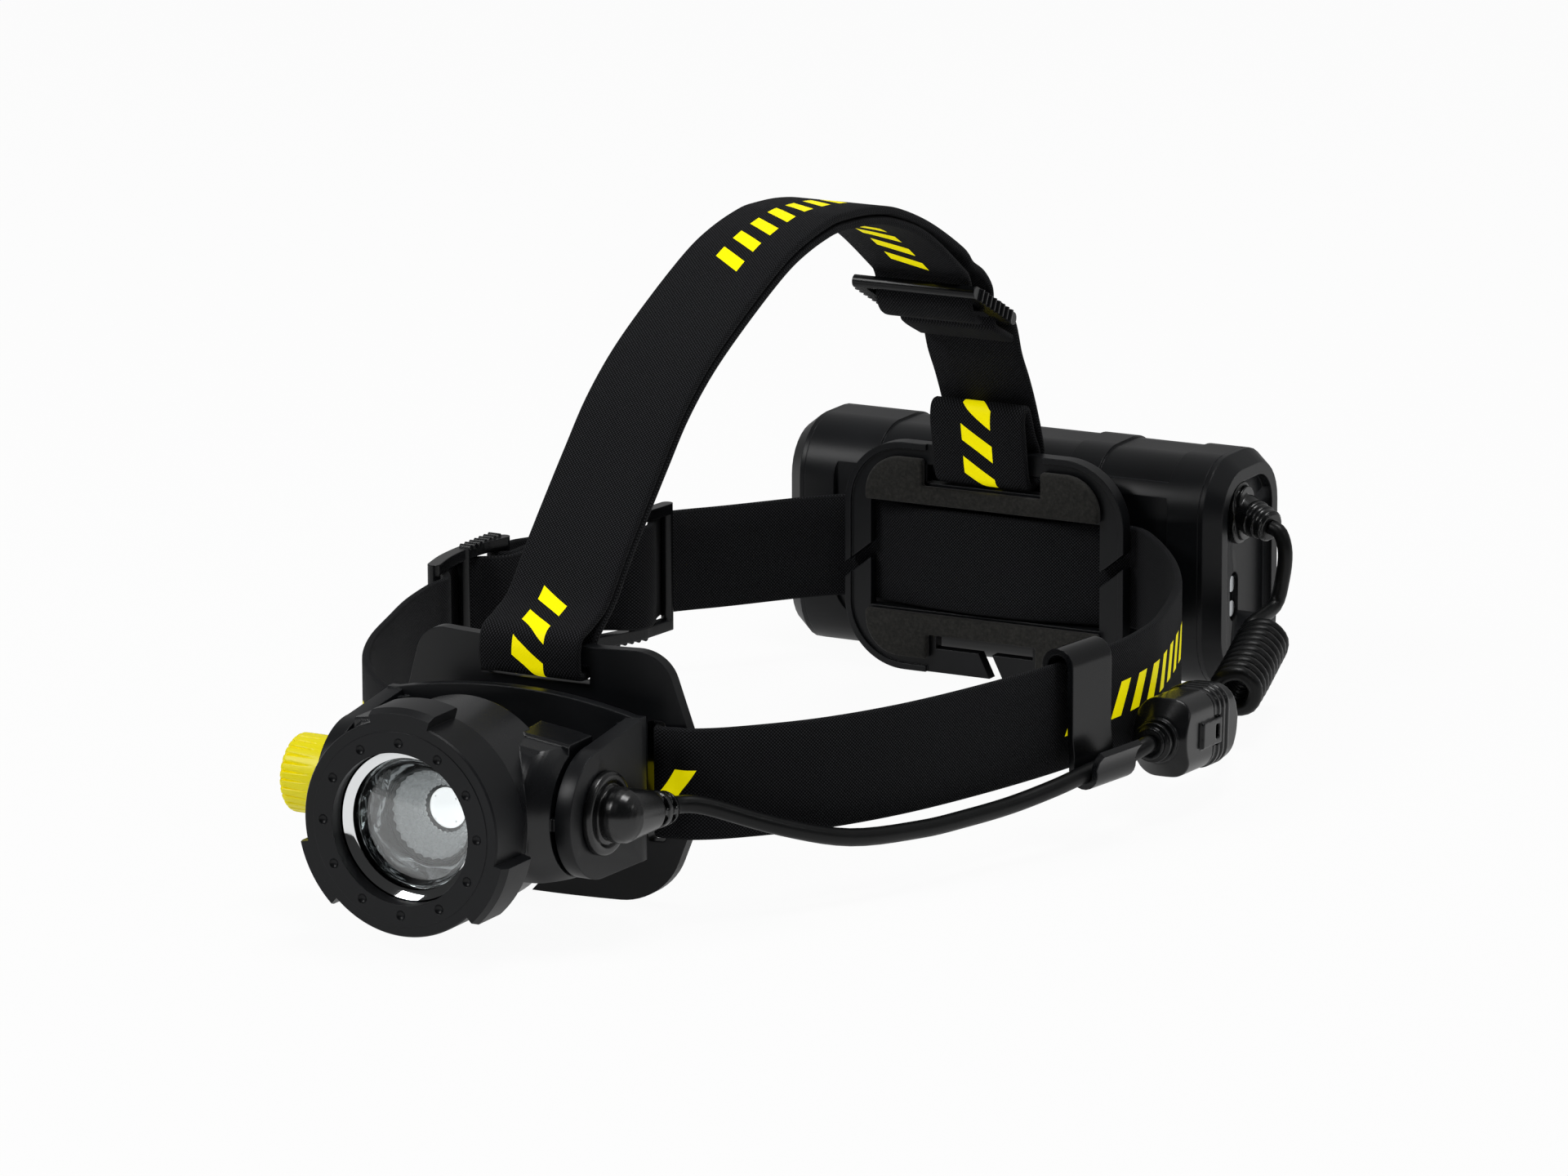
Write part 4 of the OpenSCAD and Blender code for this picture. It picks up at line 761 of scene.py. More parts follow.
@dataclass
class Strap:
    """A flat strap that follows a route in a plane, with rounded edges and a printed side."""

    name: str
    route: list[Point]
    upright: bool
    printed: int
    rows: list[BarRow]
    width_mm: float = 25.0
    thick_mm: float = 2.0
    round_mm: float = 0.7
    # The rounded edge passes nose_mm in from the side, at nose_rise of the strap's half thickness
    nose_mm: float = 0.2
    nose_rise: float = 0.7
    steps: int = 6

    def section(self) -> list[Point]:
        """Works out the strap's section, with a rounded edge on both sides.

        Returns:
            Points of distance across the strap and distance out towards its printed side.
        """
        half, rise = self.width_mm / 2, self.thick_mm / 2
        flat = [-half + self.round_mm, -half / 2, 0, half / 2, half - self.round_mm]
        nose = half - self.nose_mm
        edge = [(nose, rise * self.nose_rise), (half, 0), (nose, -rise * self.nose_rise)]
        return ([(x, rise) for x in flat] + edge
                + [(x, -rise) for x in reversed(flat)] + [(-x, -out) for x, out in edge])

    def place(self, point: Vector, across: float) -> Vector:
        """Puts a point of the route's plane in the frame.

        Args:
            point: The point in the route's plane.
            across: The distance across the strap.

        Returns:
            The point in the frame, in millimetres.
        """
        if self.upright:
            return Vector((point[0], point[1], across))
        return Vector((across, point[0], point[1]))

    def build(self) -> bpy.types.Object:
        """Builds the strap with its maps for the weave and the print.

        Returns:
            The strap.
        """
        line = smooth_route([(*p, 0) for p in self.route], self.steps)
        along = lengths(line)
        section = self.section()
        # It is turned round where it would run to the right of the way ahead
        if self.upright != (self.printed > 0):
            section = section[::-1]
        rings = []
        for i, point in enumerate(line):
            way = (line[min(i + 1, len(line) - 1)] - line[max(i - 1, 0)]).normalized()
            out = Vector((-way[1], way[0], 0)) * self.printed
            rings.append([self.place(point + out * depth, across) for across, depth in section])
        piece = make_piece(self.name, *skin(rings), WEBBING, sharp=ROUNDED_DEG)
        self.map_faces(piece.data, along, section)
        return piece

    def map_faces(self, mesh: bpy.types.Mesh, along: list[float], section: list[Point]) -> None:
        """Writes the weave's map, the print's map and the number of bars in each face's row.

        Args:
            mesh: The strap's mesh.
            along: The distance along the strap at each ring.
            section: The section's points in the rings' order.
        """
        weave = mesh.uv_layers.new(name="weave")
        printed = mesh.uv_layers.new(name="print")
        bars = mesh.attributes.new("bars", "FLOAT", "FACE")
        count = len(section)
        rise = self.thick_mm / 2
        for face in mesh.polygons:
            rings = [v // count for v in face.vertices]
            spots = [section[v % count] for v in face.vertices]
            front = min(depth for _, depth in spots) > rise - FLAT_MM
            row = self.row_at(min(along[r] for r in rings), max(along[r] for r in rings)) if front else None
            bars.data[face.index].value = row.count - row.last_gap if row else 0.0
            for corner, ring, (across, depth) in zip(face.loop_indices, rings, spots):
                edge = 0.0 if abs(depth) > rise - FLAT_MM else (rise - depth) * math.copysign(1, across)
                weave.data[corner].uv = (along[ring], across + edge)
                if row:
                    start = (along[ring] - row.first_mm - row.slant * across) / row.pitch_mm
                    printed.data[corner].uv = (start, (across - row.middle_mm) / row.half_mm)
                else:
                    printed.data[corner].uv = OFF_PRINT

    def row_at(self, start: float, end: float) -> BarRow | None:
        """Finds the printed row that a stretch of the strap belongs to.

        Args:
            start: The distance along the strap where the stretch starts.
            end: The distance where it ends.

        Returns:
            The row, or nothing where the strap is plain.
        """
        for row in self.rows:
            row_end = row.first_mm + row.count * row.pitch_mm
            if end > row.first_mm - row.margin_mm and start < row_end + row.margin_mm:
                return row
        return None


# The headband's route is in X and Y, and the other straps' routes are in Y and Z
HEADBAND_ROUTE: list[Point] = [
    (-81.88, 34.92), (-79.92, 40.59), (-78.49, 42.17), (-76.36, 42.33), (-74.78, 40.9), (-74.63, 38.77),
    (-76.25, 34.04), (-78.9, 26.2), (-78.9, 22.2), (-80.2, 16.4), (-86, 12), (-89.1, 7.6), (-88.8, 2),
    (-83.4, -5.6), (-81.2, -10.2), (-81.2, -16.2), (-78.45, -31), (-74.01, -46), (-66.8, -67.6),
    (-56.8, -86.6), (-44.59, -101.2), (-37.2, -107.04), (-33.5, -107.81), (-29.6, -108.5),
    (-27.6, -104.27), (-23.5, -104.44), (-14, -105.9), (0, -106.7), (14, -105.9), (23.5, -104.44),
    (27.6, -104.27), (29.6, -108.5), (33.5, -107.81), (37.2, -107.04), (44.59, -101.2), (56.8, -86.6),
    (66.8, -67.6), (74.56, -44.5), (80.95, -18), (84, 6), (83.17, 25), (80.11, 38), (75.12, 54),
    (70.12, 66.8), (59.02, 86.4), (46.26, 103.4), (38.6, 110.6), (32.2, 110.6), (24, 109), (13, 107),
    (0, 106.2), (-13, 107), (-24, 109), (-32.2, 110.6), (-38.6, 110.6), (-46.26, 103.4), (-59.02, 86.4),
    (-65.13, 79), (-68.07, 75.01), (-69.37, 71.23), (-68.22, 65.97), (-65.69, 59.81), (-67.01, 54.76),
    (-73.17, 51.6), (-79.01, 46.63), (-82.1, 41.34), (-83.72, 36.62), (-86.5, 31.2), (-86.8, 22.2),
    (-85.96, 20.24), (-84, 19.4), (-82.04, 20.24), (-81.2, 22.2), (-81.2, 31.2),
]
CROWN_ROUTE: list[Point] = [
    (80.49, 65.56), (76.91, 66.91), (74.72, 70.13), (74.72, 73.7), (73.56, 76.75), (70.43, 79.43),
    (53.02, 90.51), (36.92, 96.5), (24.67, 98.92), (12.9, 99.8), (5.45, 99.71), (-6.67, 97.76),
    (-18.14, 94.36), (-35.77, 86.63), (-51.47, 78.54), (-63.38, 70.14), (-72.61, 61.19),
    (-81.68, 52.03), (-90.14, 43.17), (-96, 36.2), (-101, 32.1), (-104.4, 29.2), (-105.76, 26.5),
    (-105.96, 23.7), (-108.2, 22), (-109.8, 21.8), (-112.2, 22.4), (-112.7, 24.5), (-112.6, 27.9),
    (-111.2, 30.7), (-106.3, 32.6), (-100, 35.8), (-91.9, 44.8), (-83.4, 53.7), (-74.3, 62.9),
    (-64.9, 72), (-52.7, 80.6), (-36.8, 88.8), (-19, 96.6), (-7.2, 100.1), (5.2, 102.1), (13, 102.2),
    (25, 101.3), (37.6, 98.8), (54, 92.7), (70.4, 84.2), (75.75, 79.79), (81.34, 76.66), (85.46, 72.36),
    (85.72, 68.65), (83.58, 66.37),
]
REAR_STRAP_ROUTE: list[Point] = [
    (96.55, 58.32), (88.41, 62.16), (87.03, 63.79), (87.16, 65.92), (88.78, 67.3), (90.91, 67.17),
    (97.35, 62.16), (101.1, 53.4), (104.9, 47), (108.2, 40.6), (111.4, 33.2), (113.1, 28),
    (113.1, 24.4), (111.7, 21.4), (109.1, 20.2), (106.1, 20.6), (104.6, 24), (103.6, 30), (102.6, 35.4),
    (103, 38.7), (104.8, 39.4), (106.1, 37.4), (108.1, 32.6), (110.8, 28), (110.8, 24.6),
]


@dataclass
class Straps:
    """The headband, the crown strap and the strap that holds the crown slider to the rear plate."""

    headband: Strap = field(default_factory=lambda: Strap(
        "headband_webbing", HEADBAND_ROUTE, True, -1,
        [BarRow(237.1, 3, pitch_mm=9.2, slant=0.62, middle_mm=-0.6),
         BarRow(367.6, 10, pitch_mm=9.2, slant=0.62, middle_mm=-0.7),
         BarRow(150.0, 2, pitch_mm=9.2, slant=0.62, middle_mm=-0.6)]))
    crown: Strap = field(default_factory=lambda: Strap(
        "crown_webbing", CROWN_ROUTE, False, 1,
        [BarRow(21.4, 4), BarRow(228.0, 4, pitch_mm=8.0), BarRow(355.9, 10)]))
    rear: Strap = field(default_factory=lambda: Strap(
        "rear_webbing", REAR_STRAP_ROUTE, False, 1, [BarRow(76.9, 3)]))

    def build(self) -> None:
        """Builds the straps and puts them in place of their solids."""
        for strap, node in ((self.headband, "headband"), (self.crown, "crown_strap"),
                            (self.rear, "rear_strap")):
            settle(strap.build(), Body.FRAME, "webbing", node)


# ---------- cords ----------

LAMP_ROUTE: list[Point] = [
    (38.2, -120.4, -1.9), (38.9, -117, -2), (43, -112, -3), (55, -100, -9), (64.5, -86, -13.5),
    (72.3, -68, -15), (77, -55, -15), (81.5, -42, -14.5), (86.4, -30, -12.8), (89.1, -20, -11.5),
    (90.2, -12.5, -11.2), (91.5, -5, -10.9), (93.6, 1, -9.4), (93.5, 3, -9.5),
]
# The curly lead leaves the battery box, winds round the curl's middle line and ends in the connector
BATTERY_ROUTE: list[Point] = [
    (66, 127, 12), (68.5, 126.6, 10.8), (69.9, 126.3, 6.4), (69.4, 126, 0), (68, 124.5, -6.5),
]
CURLY_ROUTE: list[Point] = [(70, 115, -12), (74, 101, -13), (78, 87, -14), (82, 72, -15)]
PLUG_ROUTE: list[Point] = [
    (83.6, 65.5, -17), (86.5, 59, -18), (89.5, 53.5, -15.2), (90.9, 49, -12.6), (91, 47, -12.5),
]


@dataclass
class Cords:
    """The cable from the lamp to the connector and the curly lead from there to the battery box."""

    lamp_d_mm: float = 4.0
    lead_d_mm: float = 3.6
    curl_od_mm: float = 13.0
    turns: float = 10.17
    turn_points: int = 6
    # The share of a turn that the curl starts at, and the share of its middle line left at each end
    first_turn: float = 0.17
    inset: float = 0.03
    axis_steps: int = 40
    lamp_steps: int = 5
    lead_steps: int = 4
    sides: int = 16

    def helix(self) -> list[Vector]:
        """Works out the curly stretch, round its middle line.

        Returns:
            Points of the cord's centre line, the same number for each turn.
        """
        axis = smooth_route(CURLY_ROUTE, self.axis_steps)
        along = lengths(axis)
        reach = (self.curl_od_mm - self.lead_d_mm) / 2
        count = round(self.turns * self.turn_points)
        side = FIRST_SIDE
        line, step = [], 0
        for i in range(count + 1):
            at = along[-1] * (self.inset + (1 - 2 * self.inset) * i / count)
            while step < len(axis) - 2 and along[step + 1] < at:
                step += 1
            share = (at - along[step]) / (along[step + 1] - along[step])
            centre = axis[step].lerp(axis[step + 1], share)
            way = (axis[step + 1] - axis[step]).normalized()
            side = (side - way * side.dot(way)).normalized()
            angle = 2 * math.pi * (i / self.turn_points + self.first_turn)
            line.append(centre + (side * math.cos(angle) + way.cross(side) * math.sin(angle)) * reach)
        return line

    def lead_points(self) -> list[Vector]:
        """Gives the points that the curly lead runs through, from the battery box to the connector."""
        return [Vector(p) for p in BATTERY_ROUTE] + self.helix() + [Vector(p) for p in PLUG_ROUTE]

    def sweep(self, name: str, line: list[Vector], diameter: float) -> bpy.types.Object:
        """Makes a cord's skin.

        Args:
            name: The piece's name.
            line: Its centre line.
            diameter: Its diameter in millimetres.

        Returns:
            The cord.
        """
        points, faces = skin(tube(line, diameter / 2, self.sides))
        return make_piece(name, points, faces, CORD_RUBBER, sharp=ROUNDED_DEG)

    def declare(self, piece: bpy.types.Object, line: list[Vector],
                nodes: list[str]) -> None:
        """Puts a cord on the frame, hides the solids that it stands for and logs its length.

        Args:
            piece: The cord.
            line: Its centre line.
            nodes: The solids that it replaces.
        """
        settle(piece, Body.FRAME, "cord_rubber", *nodes)
        LOG.info("%s: %.0f mm", piece.name, lengths(line)[-1])

    def build(self, mouldings: dict[str, bpy.types.Object]) -> None:
        """Builds both cords.

        Args:
            mouldings: The reliefs and the connector's halves, by the names of their solids. Not used.
        """
        lamp = smooth_route(LAMP_ROUTE, self.lamp_steps)
        piece = self.sweep("lamp_cord", lamp, self.lamp_d_mm)
        self.declare(piece, lamp, ["lamp_cable"])
        lead = smooth_route(self.lead_points(), self.lead_steps)
        piece = self.sweep("curly_lead", lead, self.lead_d_mm)
        self.declare(piece, lead, ["battery_lead", "curly_cable", "plug_lead"])


# ---------- pieces made from the solids' own shapes ----------

# Points join and flat faces merge within these, and edges past these angles are rounded and look sharp
JOIN_MM = 0.01
FLAT_DEG = 0.5
EDGE_DEG = 30
SHARP_DEG = 35
EDGE_FACES = 3


def merged_copy(node: str, name: str, round_mm: float = 0) -> bpy.types.Object:
    """Copies a solid's mesh, joins its loose triangles and rounds its edges.

    Args:
        node: The solid that is copied.
        name: The new piece's name.
        round_mm: The radius of its edges, or 0 for none.

    Returns:
        The new piece.
    """
    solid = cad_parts[node]
    shape = bmesh.new()
    shape.from_mesh(solid.data)
    bmesh.ops.remove_doubles(shape, verts=shape.verts, dist=JOIN_MM * MM)
    bmesh.ops.dissolve_limit(shape, angle_limit=math.radians(FLAT_DEG), verts=shape.verts,
                             edges=shape.edges)
    if round_mm:
        edges = [e for e in shape.edges
                 if len(e.link_faces) == 2 and e.calc_face_angle() > math.radians(EDGE_DEG)]
        bmesh.ops.bevel(shape, geom=edges, offset=round_mm * MM, segments=EDGE_FACES, profile=0.5,
                        affect="EDGES", clamp_overlap=True)
    mesh = bpy.data.meshes.new(name)
    shape.to_mesh(mesh)
    shape.free()
    mesh.shade_smooth()
    mesh.set_sharp_from_angle(angle=math.radians(SHARP_DEG))
    mesh.materials.clear()
    mesh.materials.append(NODE_FINISHES[node].material())
    return add_object(name, mesh)


def keep_evaluated(piece: bpy.types.Object) -> None:
    """Gives a piece the mesh that its modifiers make, and removes them.

    Args:
        piece: The piece.
    """
    graph = bpy.context.evaluated_depsgraph_get()
    mesh = bpy.data.meshes.new_from_object(piece.evaluated_get(graph), preserve_all_data_layers=True,
                                           depsgraph=graph)
    piece.modifiers.clear()
    piece.data = mesh
    mesh.name = piece.name


@dataclass
class FoamPads:
    """The foam pads behind the front plate and on the rear plate, with soft cut edges."""

    round_mm: float = 0.7
    tightness: float = 0.95
    nodes: tuple[str, ...] = (
        "forehead_pad_upper", "forehead_pad_lower", "rear_pad_upper", "rear_pad_lower")

    def build(self) -> None:
        """Builds the pads over their solids."""
        for node in self.nodes:
            piece = merged_copy(node, f"{node}_foam", self.round_mm)
            settle(piece, Body.FRAME, "foam", node)


@dataclass
class SmoothShells:
    """Moulded pieces that hide the flats of their solids, with the radius of their edges."""

    round_mm: dict[str, float] = field(default_factory=lambda: {
        "end_cap_left": 0, "end_cap_right": 0, "cable_clip": 0, "tilt_bracket": 0.8})

    def build(self) -> None:
        """Builds each shell over its solid."""
        for node, radius in self.round_mm.items():
            settle(merged_copy(node, f"{node}_shell", radius), Body.FRAME, "black_plastic", node)


@dataclass(frozen=True)
class Moulding:
    """How a soft moulding is finished: its material slot, and how often its faces are smoothed."""

    slot: str
    passes: int


@dataclass
class SoftMouldings:
    """Rubber reliefs and the connector's halves, whose faces run into each other without an edge."""

    mouldings: dict[str, Moulding] = field(default_factory=lambda: {
        "lamp_strain_relief": Moulding("cord_rubber", 5),
        "battery_strain_relief": Moulding("cord_rubber", 6),
        "cable_plug": Moulding("satin_black", 5),
        "cable_socket": Moulding("satin_black", 5)})
    voxel_mm: float = 0.22
    smoothing: float = 0.5
    ball_x: float = 35.8
    cone_end_mm: float = 6.6
    cone_r_mm: tuple[float, float] = (6.2, 4.5)
    # Each collar runs from and to a distance before the cone's mouth, with its radius at both
    collars: tuple[Point, ...] = ((6.8, 0, 2.5, 2.3), (4.8, 3.2, 4.2, 4.1), (1.5, 0, 3.9, 3.4))
    web_mm: Point = (7.8, 1.4, 5.6)
    web_before_mm: float = 4.0
    sides: int = 64

    def fill_cone(self, piece: bpy.types.Object) -> None:
        """Adds the lamp relief's cone, level with its ball's sides, and the collars between its slots.

        Args:
            piece: The lamp relief.
        """
        start, mouth = Vector((self.ball_x, PIVOT_Y, PIVOT_Z)), Vector(LAMP_ROUTE[0])
        way = mouth - start
        turn = Matrix.Translation(start * MM) @ way.to_track_quat("Z", "Y").to_matrix().to_4x4()
        shape = bmesh.new()
        shape.from_mesh(piece.data)
        cone = (way.length, self.cone_end_mm, *self.cone_r_mm)
        for before, until, r_first, r_last in (cone, *self.collars):
            middle = Matrix.Translation((0, 0, (way.length - (before + until) / 2) * MM))
            bmesh.ops.create_cone(shape, cap_ends=True, segments=self.sides, radius1=r_first * MM,
                                  radius2=r_last * MM, depth=(before - until) * MM, matrix=turn @ middle)
        middle = Matrix.Translation((0, 0, (way.length - self.web_before_mm) * MM))
        size = Matrix.Diagonal((*(side * MM for side in self.web_mm), 1))
        bmesh.ops.create_cube(shape, size=1, matrix=turn @ middle @ size)
        shape.to_mesh(piece.data)
        shape.free()

    def soften(self, piece: bpy.types.Object, passes: int) -> None:
        """Turns a piece's mesh into an even net, and smooths it.

        Args:
            piece: The piece.
            passes: How often the net is smoothed.
        """
        net = piece.modifiers.new("net", "REMESH")
        net.mode = "VOXEL"
        net.voxel_size = self.voxel_mm * MM
        soft = piece.modifiers.new("soft", "SMOOTH")
        soft.factor, soft.iterations = self.smoothing, passes
        keep_evaluated(piece)
        piece.data.shade_smooth()

    def build(self) -> dict[str, bpy.types.Object]:
        """Builds each moulding over its solid.

        Returns:
            The pieces by the names of their solids.
        """
        pieces = {}
        for node, moulding in self.mouldings.items():
            piece = merged_copy(node, f"{node}_moulding")
            if node == "lamp_strain_relief":
                self.fill_cone(piece)
            self.soften(piece, moulding.passes)
            piece.data.materials.clear()
            piece.data.materials.append(NODE_FINISHES[node].material())
            settle(piece, Body.FRAME, moulding.slot, node)
            pieces[node] = piece
        return pieces


# ---------- repeated shapes ----------


def new_tree(name: str, inputs: list[tuple[str, str]]) -> tuple[bpy.types.NodeTree, bpy.types.Node, dict]:
    """Starts a geometry tree with named inputs.

    Args:
        name: The tree's name.
        inputs: The name and socket type of each input past the geometry.

    Returns:
        The tree, its input node and each input's identifier by name.
    """
    tree = bpy.data.node_groups.new(name, "GeometryNodeTree")
    tree.interface.new_socket("Geometry", in_out="INPUT", socket_type="NodeSocketGeometry")
    ids = {title: tree.interface.new_socket(title, in_out="INPUT", socket_type=kind).identifier
           for title, kind in inputs}
    tree.interface.new_socket("Geometry", in_out="OUTPUT", socket_type="NodeSocketGeometry")
    return tree, add_node(tree, "NodeGroupInput"), ids


def grow(piece: bpy.types.Object, tree: bpy.types.NodeTree, ids: dict, values: dict) -> bpy.types.Object:
    """Runs a geometry tree on a piece and keeps the result as its plain mesh.

    Args:
        piece: The piece.
        tree: The tree.
        ids: The identifier of each of the tree's inputs.
        values: The value of each input.

    Returns:
        The same piece, with the grown mesh and no modifier.
    """
    modifier = piece.modifiers.new(tree.name, "NODES")
    modifier.node_group = tree
    for title, value in values.items():
        modifier[ids[title]] = value
    keep_evaluated(piece)
    return piece


def ring_array_tree() -> tuple[bpy.types.NodeTree, dict]:
    """Makes the tree that joins copies of a piece in a ring, round the X axis through a centre.

    Returns:
        The tree and each input's identifier by name.
    """
    tree, source, ids = new_tree("ring_of_copies", [
        ("Copies", "NodeSocketInt"), ("Centre", "NodeSocketVector"), ("Join", "NodeSocketFloat"),
        ("Material", "NodeSocketMaterial")])
    back = add_node(tree, "ShaderNodeVectorMath", {0: source.outputs["Centre"], 1: (-1, -1, -1)},
                    operation="MULTIPLY")
    local = add_node(tree, "GeometryNodeTransform", {"Geometry": source.outputs["Geometry"],
                                                     "Translation": back.outputs[0]})
    points = add_node(tree, "GeometryNodeMeshLine", {"Count": source.outputs["Copies"],
                                                     "Start Location": source.outputs["Centre"],
                                                     "Offset": (0, 0, 0)})
    index = add_node(tree, "GeometryNodeInputIndex")
    share = add_node(tree, "ShaderNodeMath", {0: index.outputs[0], 1: source.outputs["Copies"]},
                     operation="DIVIDE")
    angle = add_node(tree, "ShaderNodeMath", {0: share.outputs[0], 1: 2 * math.pi}, operation="MULTIPLY")
    turn = add_node(tree, "ShaderNodeCombineXYZ", {"X": angle.outputs[0]})
    copies = add_node(tree, "GeometryNodeInstanceOnPoints", {"Points": points.outputs[0],
                                                             "Instance": local.outputs[0],
                                                             "Rotation": turn.outputs[0]})
    solid = add_node(tree, "GeometryNodeRealizeInstances", {0: copies.outputs[0]})
    joined = add_node(tree, "GeometryNodeMergeByDistance", {"Geometry": solid.outputs[0],
                                                            "Distance": source.outputs["Join"]})
    dressed = add_node(tree, "GeometryNodeSetMaterial", {"Geometry": joined.outputs[0],
                                                         "Material": source.outputs["Material"]})
    add_node(tree, "NodeGroupOutput", {0: dressed.outputs[0]})
    return tree, ids


@dataclass
class Knob:
    """The dimmer knob: a drum with a soft rim and grooves that run out to a point towards the ear."""

    inner_mm: float = -33.3
    length_mm: float = 11.0
    radius_mm: float = 8.75
    rim_mm: float = 1.0
    hollow_r_mm: float = 7.5
    hollow_mm: float = 1.8
    grooves: int = 28
    depth_mm: float = 0.95
    # A groove fades out at this share of the drum, and crests at this share of its pitch
    fade: float = 0.72
    crest: float = 0.9
    # Its gentle side and its steep side take up these shares of the pitch at the rim
    gentle: float = 0.36
    steep: float = 0.1
    steps: int = 10
    join_mm: float = 0.01

    def profile(self) -> list[Point]:
        """Draws the drum's profile, with a dished outer end, a round rim and a hollow inner end.

        Returns:
            Points of radius and distance along X, from the outer end to the inner one.
        """
        end, r, rim = self.inner_mm - self.length_mm, self.radius_mm, self.rim_mm
        dish = [(0, end + 0.9), (2.5, end + 0.8), (4.6, end + 0.4), (5.8, end + 0.08)]
        turn = [(r - rim * (1 - math.sin(a)), end + rim * (1 - math.cos(a)))
                for a in (math.radians(degrees) for degrees in range(0, 91, 15))]
        side = [(r, end + rim + (self.length_mm - 1.6) * k / 12) for k in range(1, 12)]
        edge = [(r - 0.1, self.inner_mm - 0.4), (r - 0.5, self.inner_mm)]
        floor = self.inner_mm - self.hollow_mm
        hollow = [(self.hollow_r_mm + 0.1, self.inner_mm), (self.hollow_r_mm - 0.1, floor), (0, floor)]
        return dish + turn + side + edge + hollow

    def groove(self, share: float, r: float, x: float) -> float:
        """Gives a groove's depth, which is greatest at the rim.

        Args:
            share: How far round the groove's pitch the point lies, from 0 to 1.
            r: The radius there.
            x: The distance along X there.

        Returns:
            The depth in millimetres.
        """
        reach = 1 - (x - self.inner_mm + self.length_mm) / (self.fade * self.length_mm)
        if reach <= 0 or r < self.radius_mm - self.depth_mm:
            return 0.0
        long, short = self.gentle * reach, self.steep * reach
        before, after = share - (self.crest - long), self.crest + short - share
        if before <= 0 or after <= 0:
            return 0.0
        return self.depth_mm * reach * (before / long if share <= self.crest else after / short)

    def sector(self) -> bpy.types.Object:
        """Makes the stretch of the drum that one groove takes up.

        Returns:
            The stretch, named as the knob that it becomes.
        """
        columns = []
        for k in range(self.steps + 1):
            share = k / self.steps
            angle = 2 * math.pi / self.grooves * share
            column = []
            for r, x in self.profile():
                deep = r - self.groove(share, r, x)
                column.append(Vector((x, PIVOT_Y - deep * math.sin(angle),
                                      PIVOT_Z + deep * math.cos(angle))))
            columns.append(column)
        count = len(columns[0])
        points = [p for column in columns for p in column]
        faces = [
            (k * count + i, k * count + i + 1, (k + 1) * count + i + 1, (k + 1) * count + i)
            for k in range(self.steps)
            for i in range(count - 1)
        ]
        return make_piece("grooved_knob", points, faces, KNOB_YELLOW, sharp=40)

    def build(self) -> None:
        """Builds the knob from a ring of sectors over its solid."""
        tree, ids = ring_array_tree()
        piece = grow(self.sector(), tree, ids, {
            "Copies": self.grooves, "Centre": (0.0, PIVOT_Y * MM, PIVOT_Z * MM), "Join": self.join_mm * MM,
            "Material": KNOB_YELLOW.material()})
        settle(piece, Body.KNOB, "yellow", "dimmer_knob")


def cells_tree() -> tuple[bpy.types.NodeTree, dict]:
    """Makes the tree that turns a net of triangles into raised six-sided cells.

    Returns:
        The tree and each input's identifier by name.
    """
    tree, source, ids = new_tree("six_sided_cells", [
        ("Height", "NodeSocketFloat"), ("Size", "NodeSocketFloat"), ("Material", "NodeSocketMaterial")])
    cells = add_node(tree, "GeometryNodeDualMesh", {0: source.outputs["Geometry"]})
    raised = add_node(tree, "GeometryNodeExtrudeMesh", {"Mesh": cells.outputs[0],
                                                        "Offset Scale": source.outputs["Height"],
                                                        "Individual": True})
    shrunk = add_node(tree, "GeometryNodeScaleElements", {"Geometry": raised.outputs["Mesh"],
                                                          "Selection": raised.outputs["Top"],
                                                          "Scale": source.outputs["Size"]})
    solid = add_node(tree, "GeometryNodeRealizeInstances", {0: shrunk.outputs[0]})
    dressed = add_node(tree, "GeometryNodeSetMaterial", {"Geometry": solid.outputs[0],
                                                         "Material": source.outputs["Material"]})
    add_node(tree, "NodeGroupOutput", {0: dressed.outputs[0]})
    return tree, ids


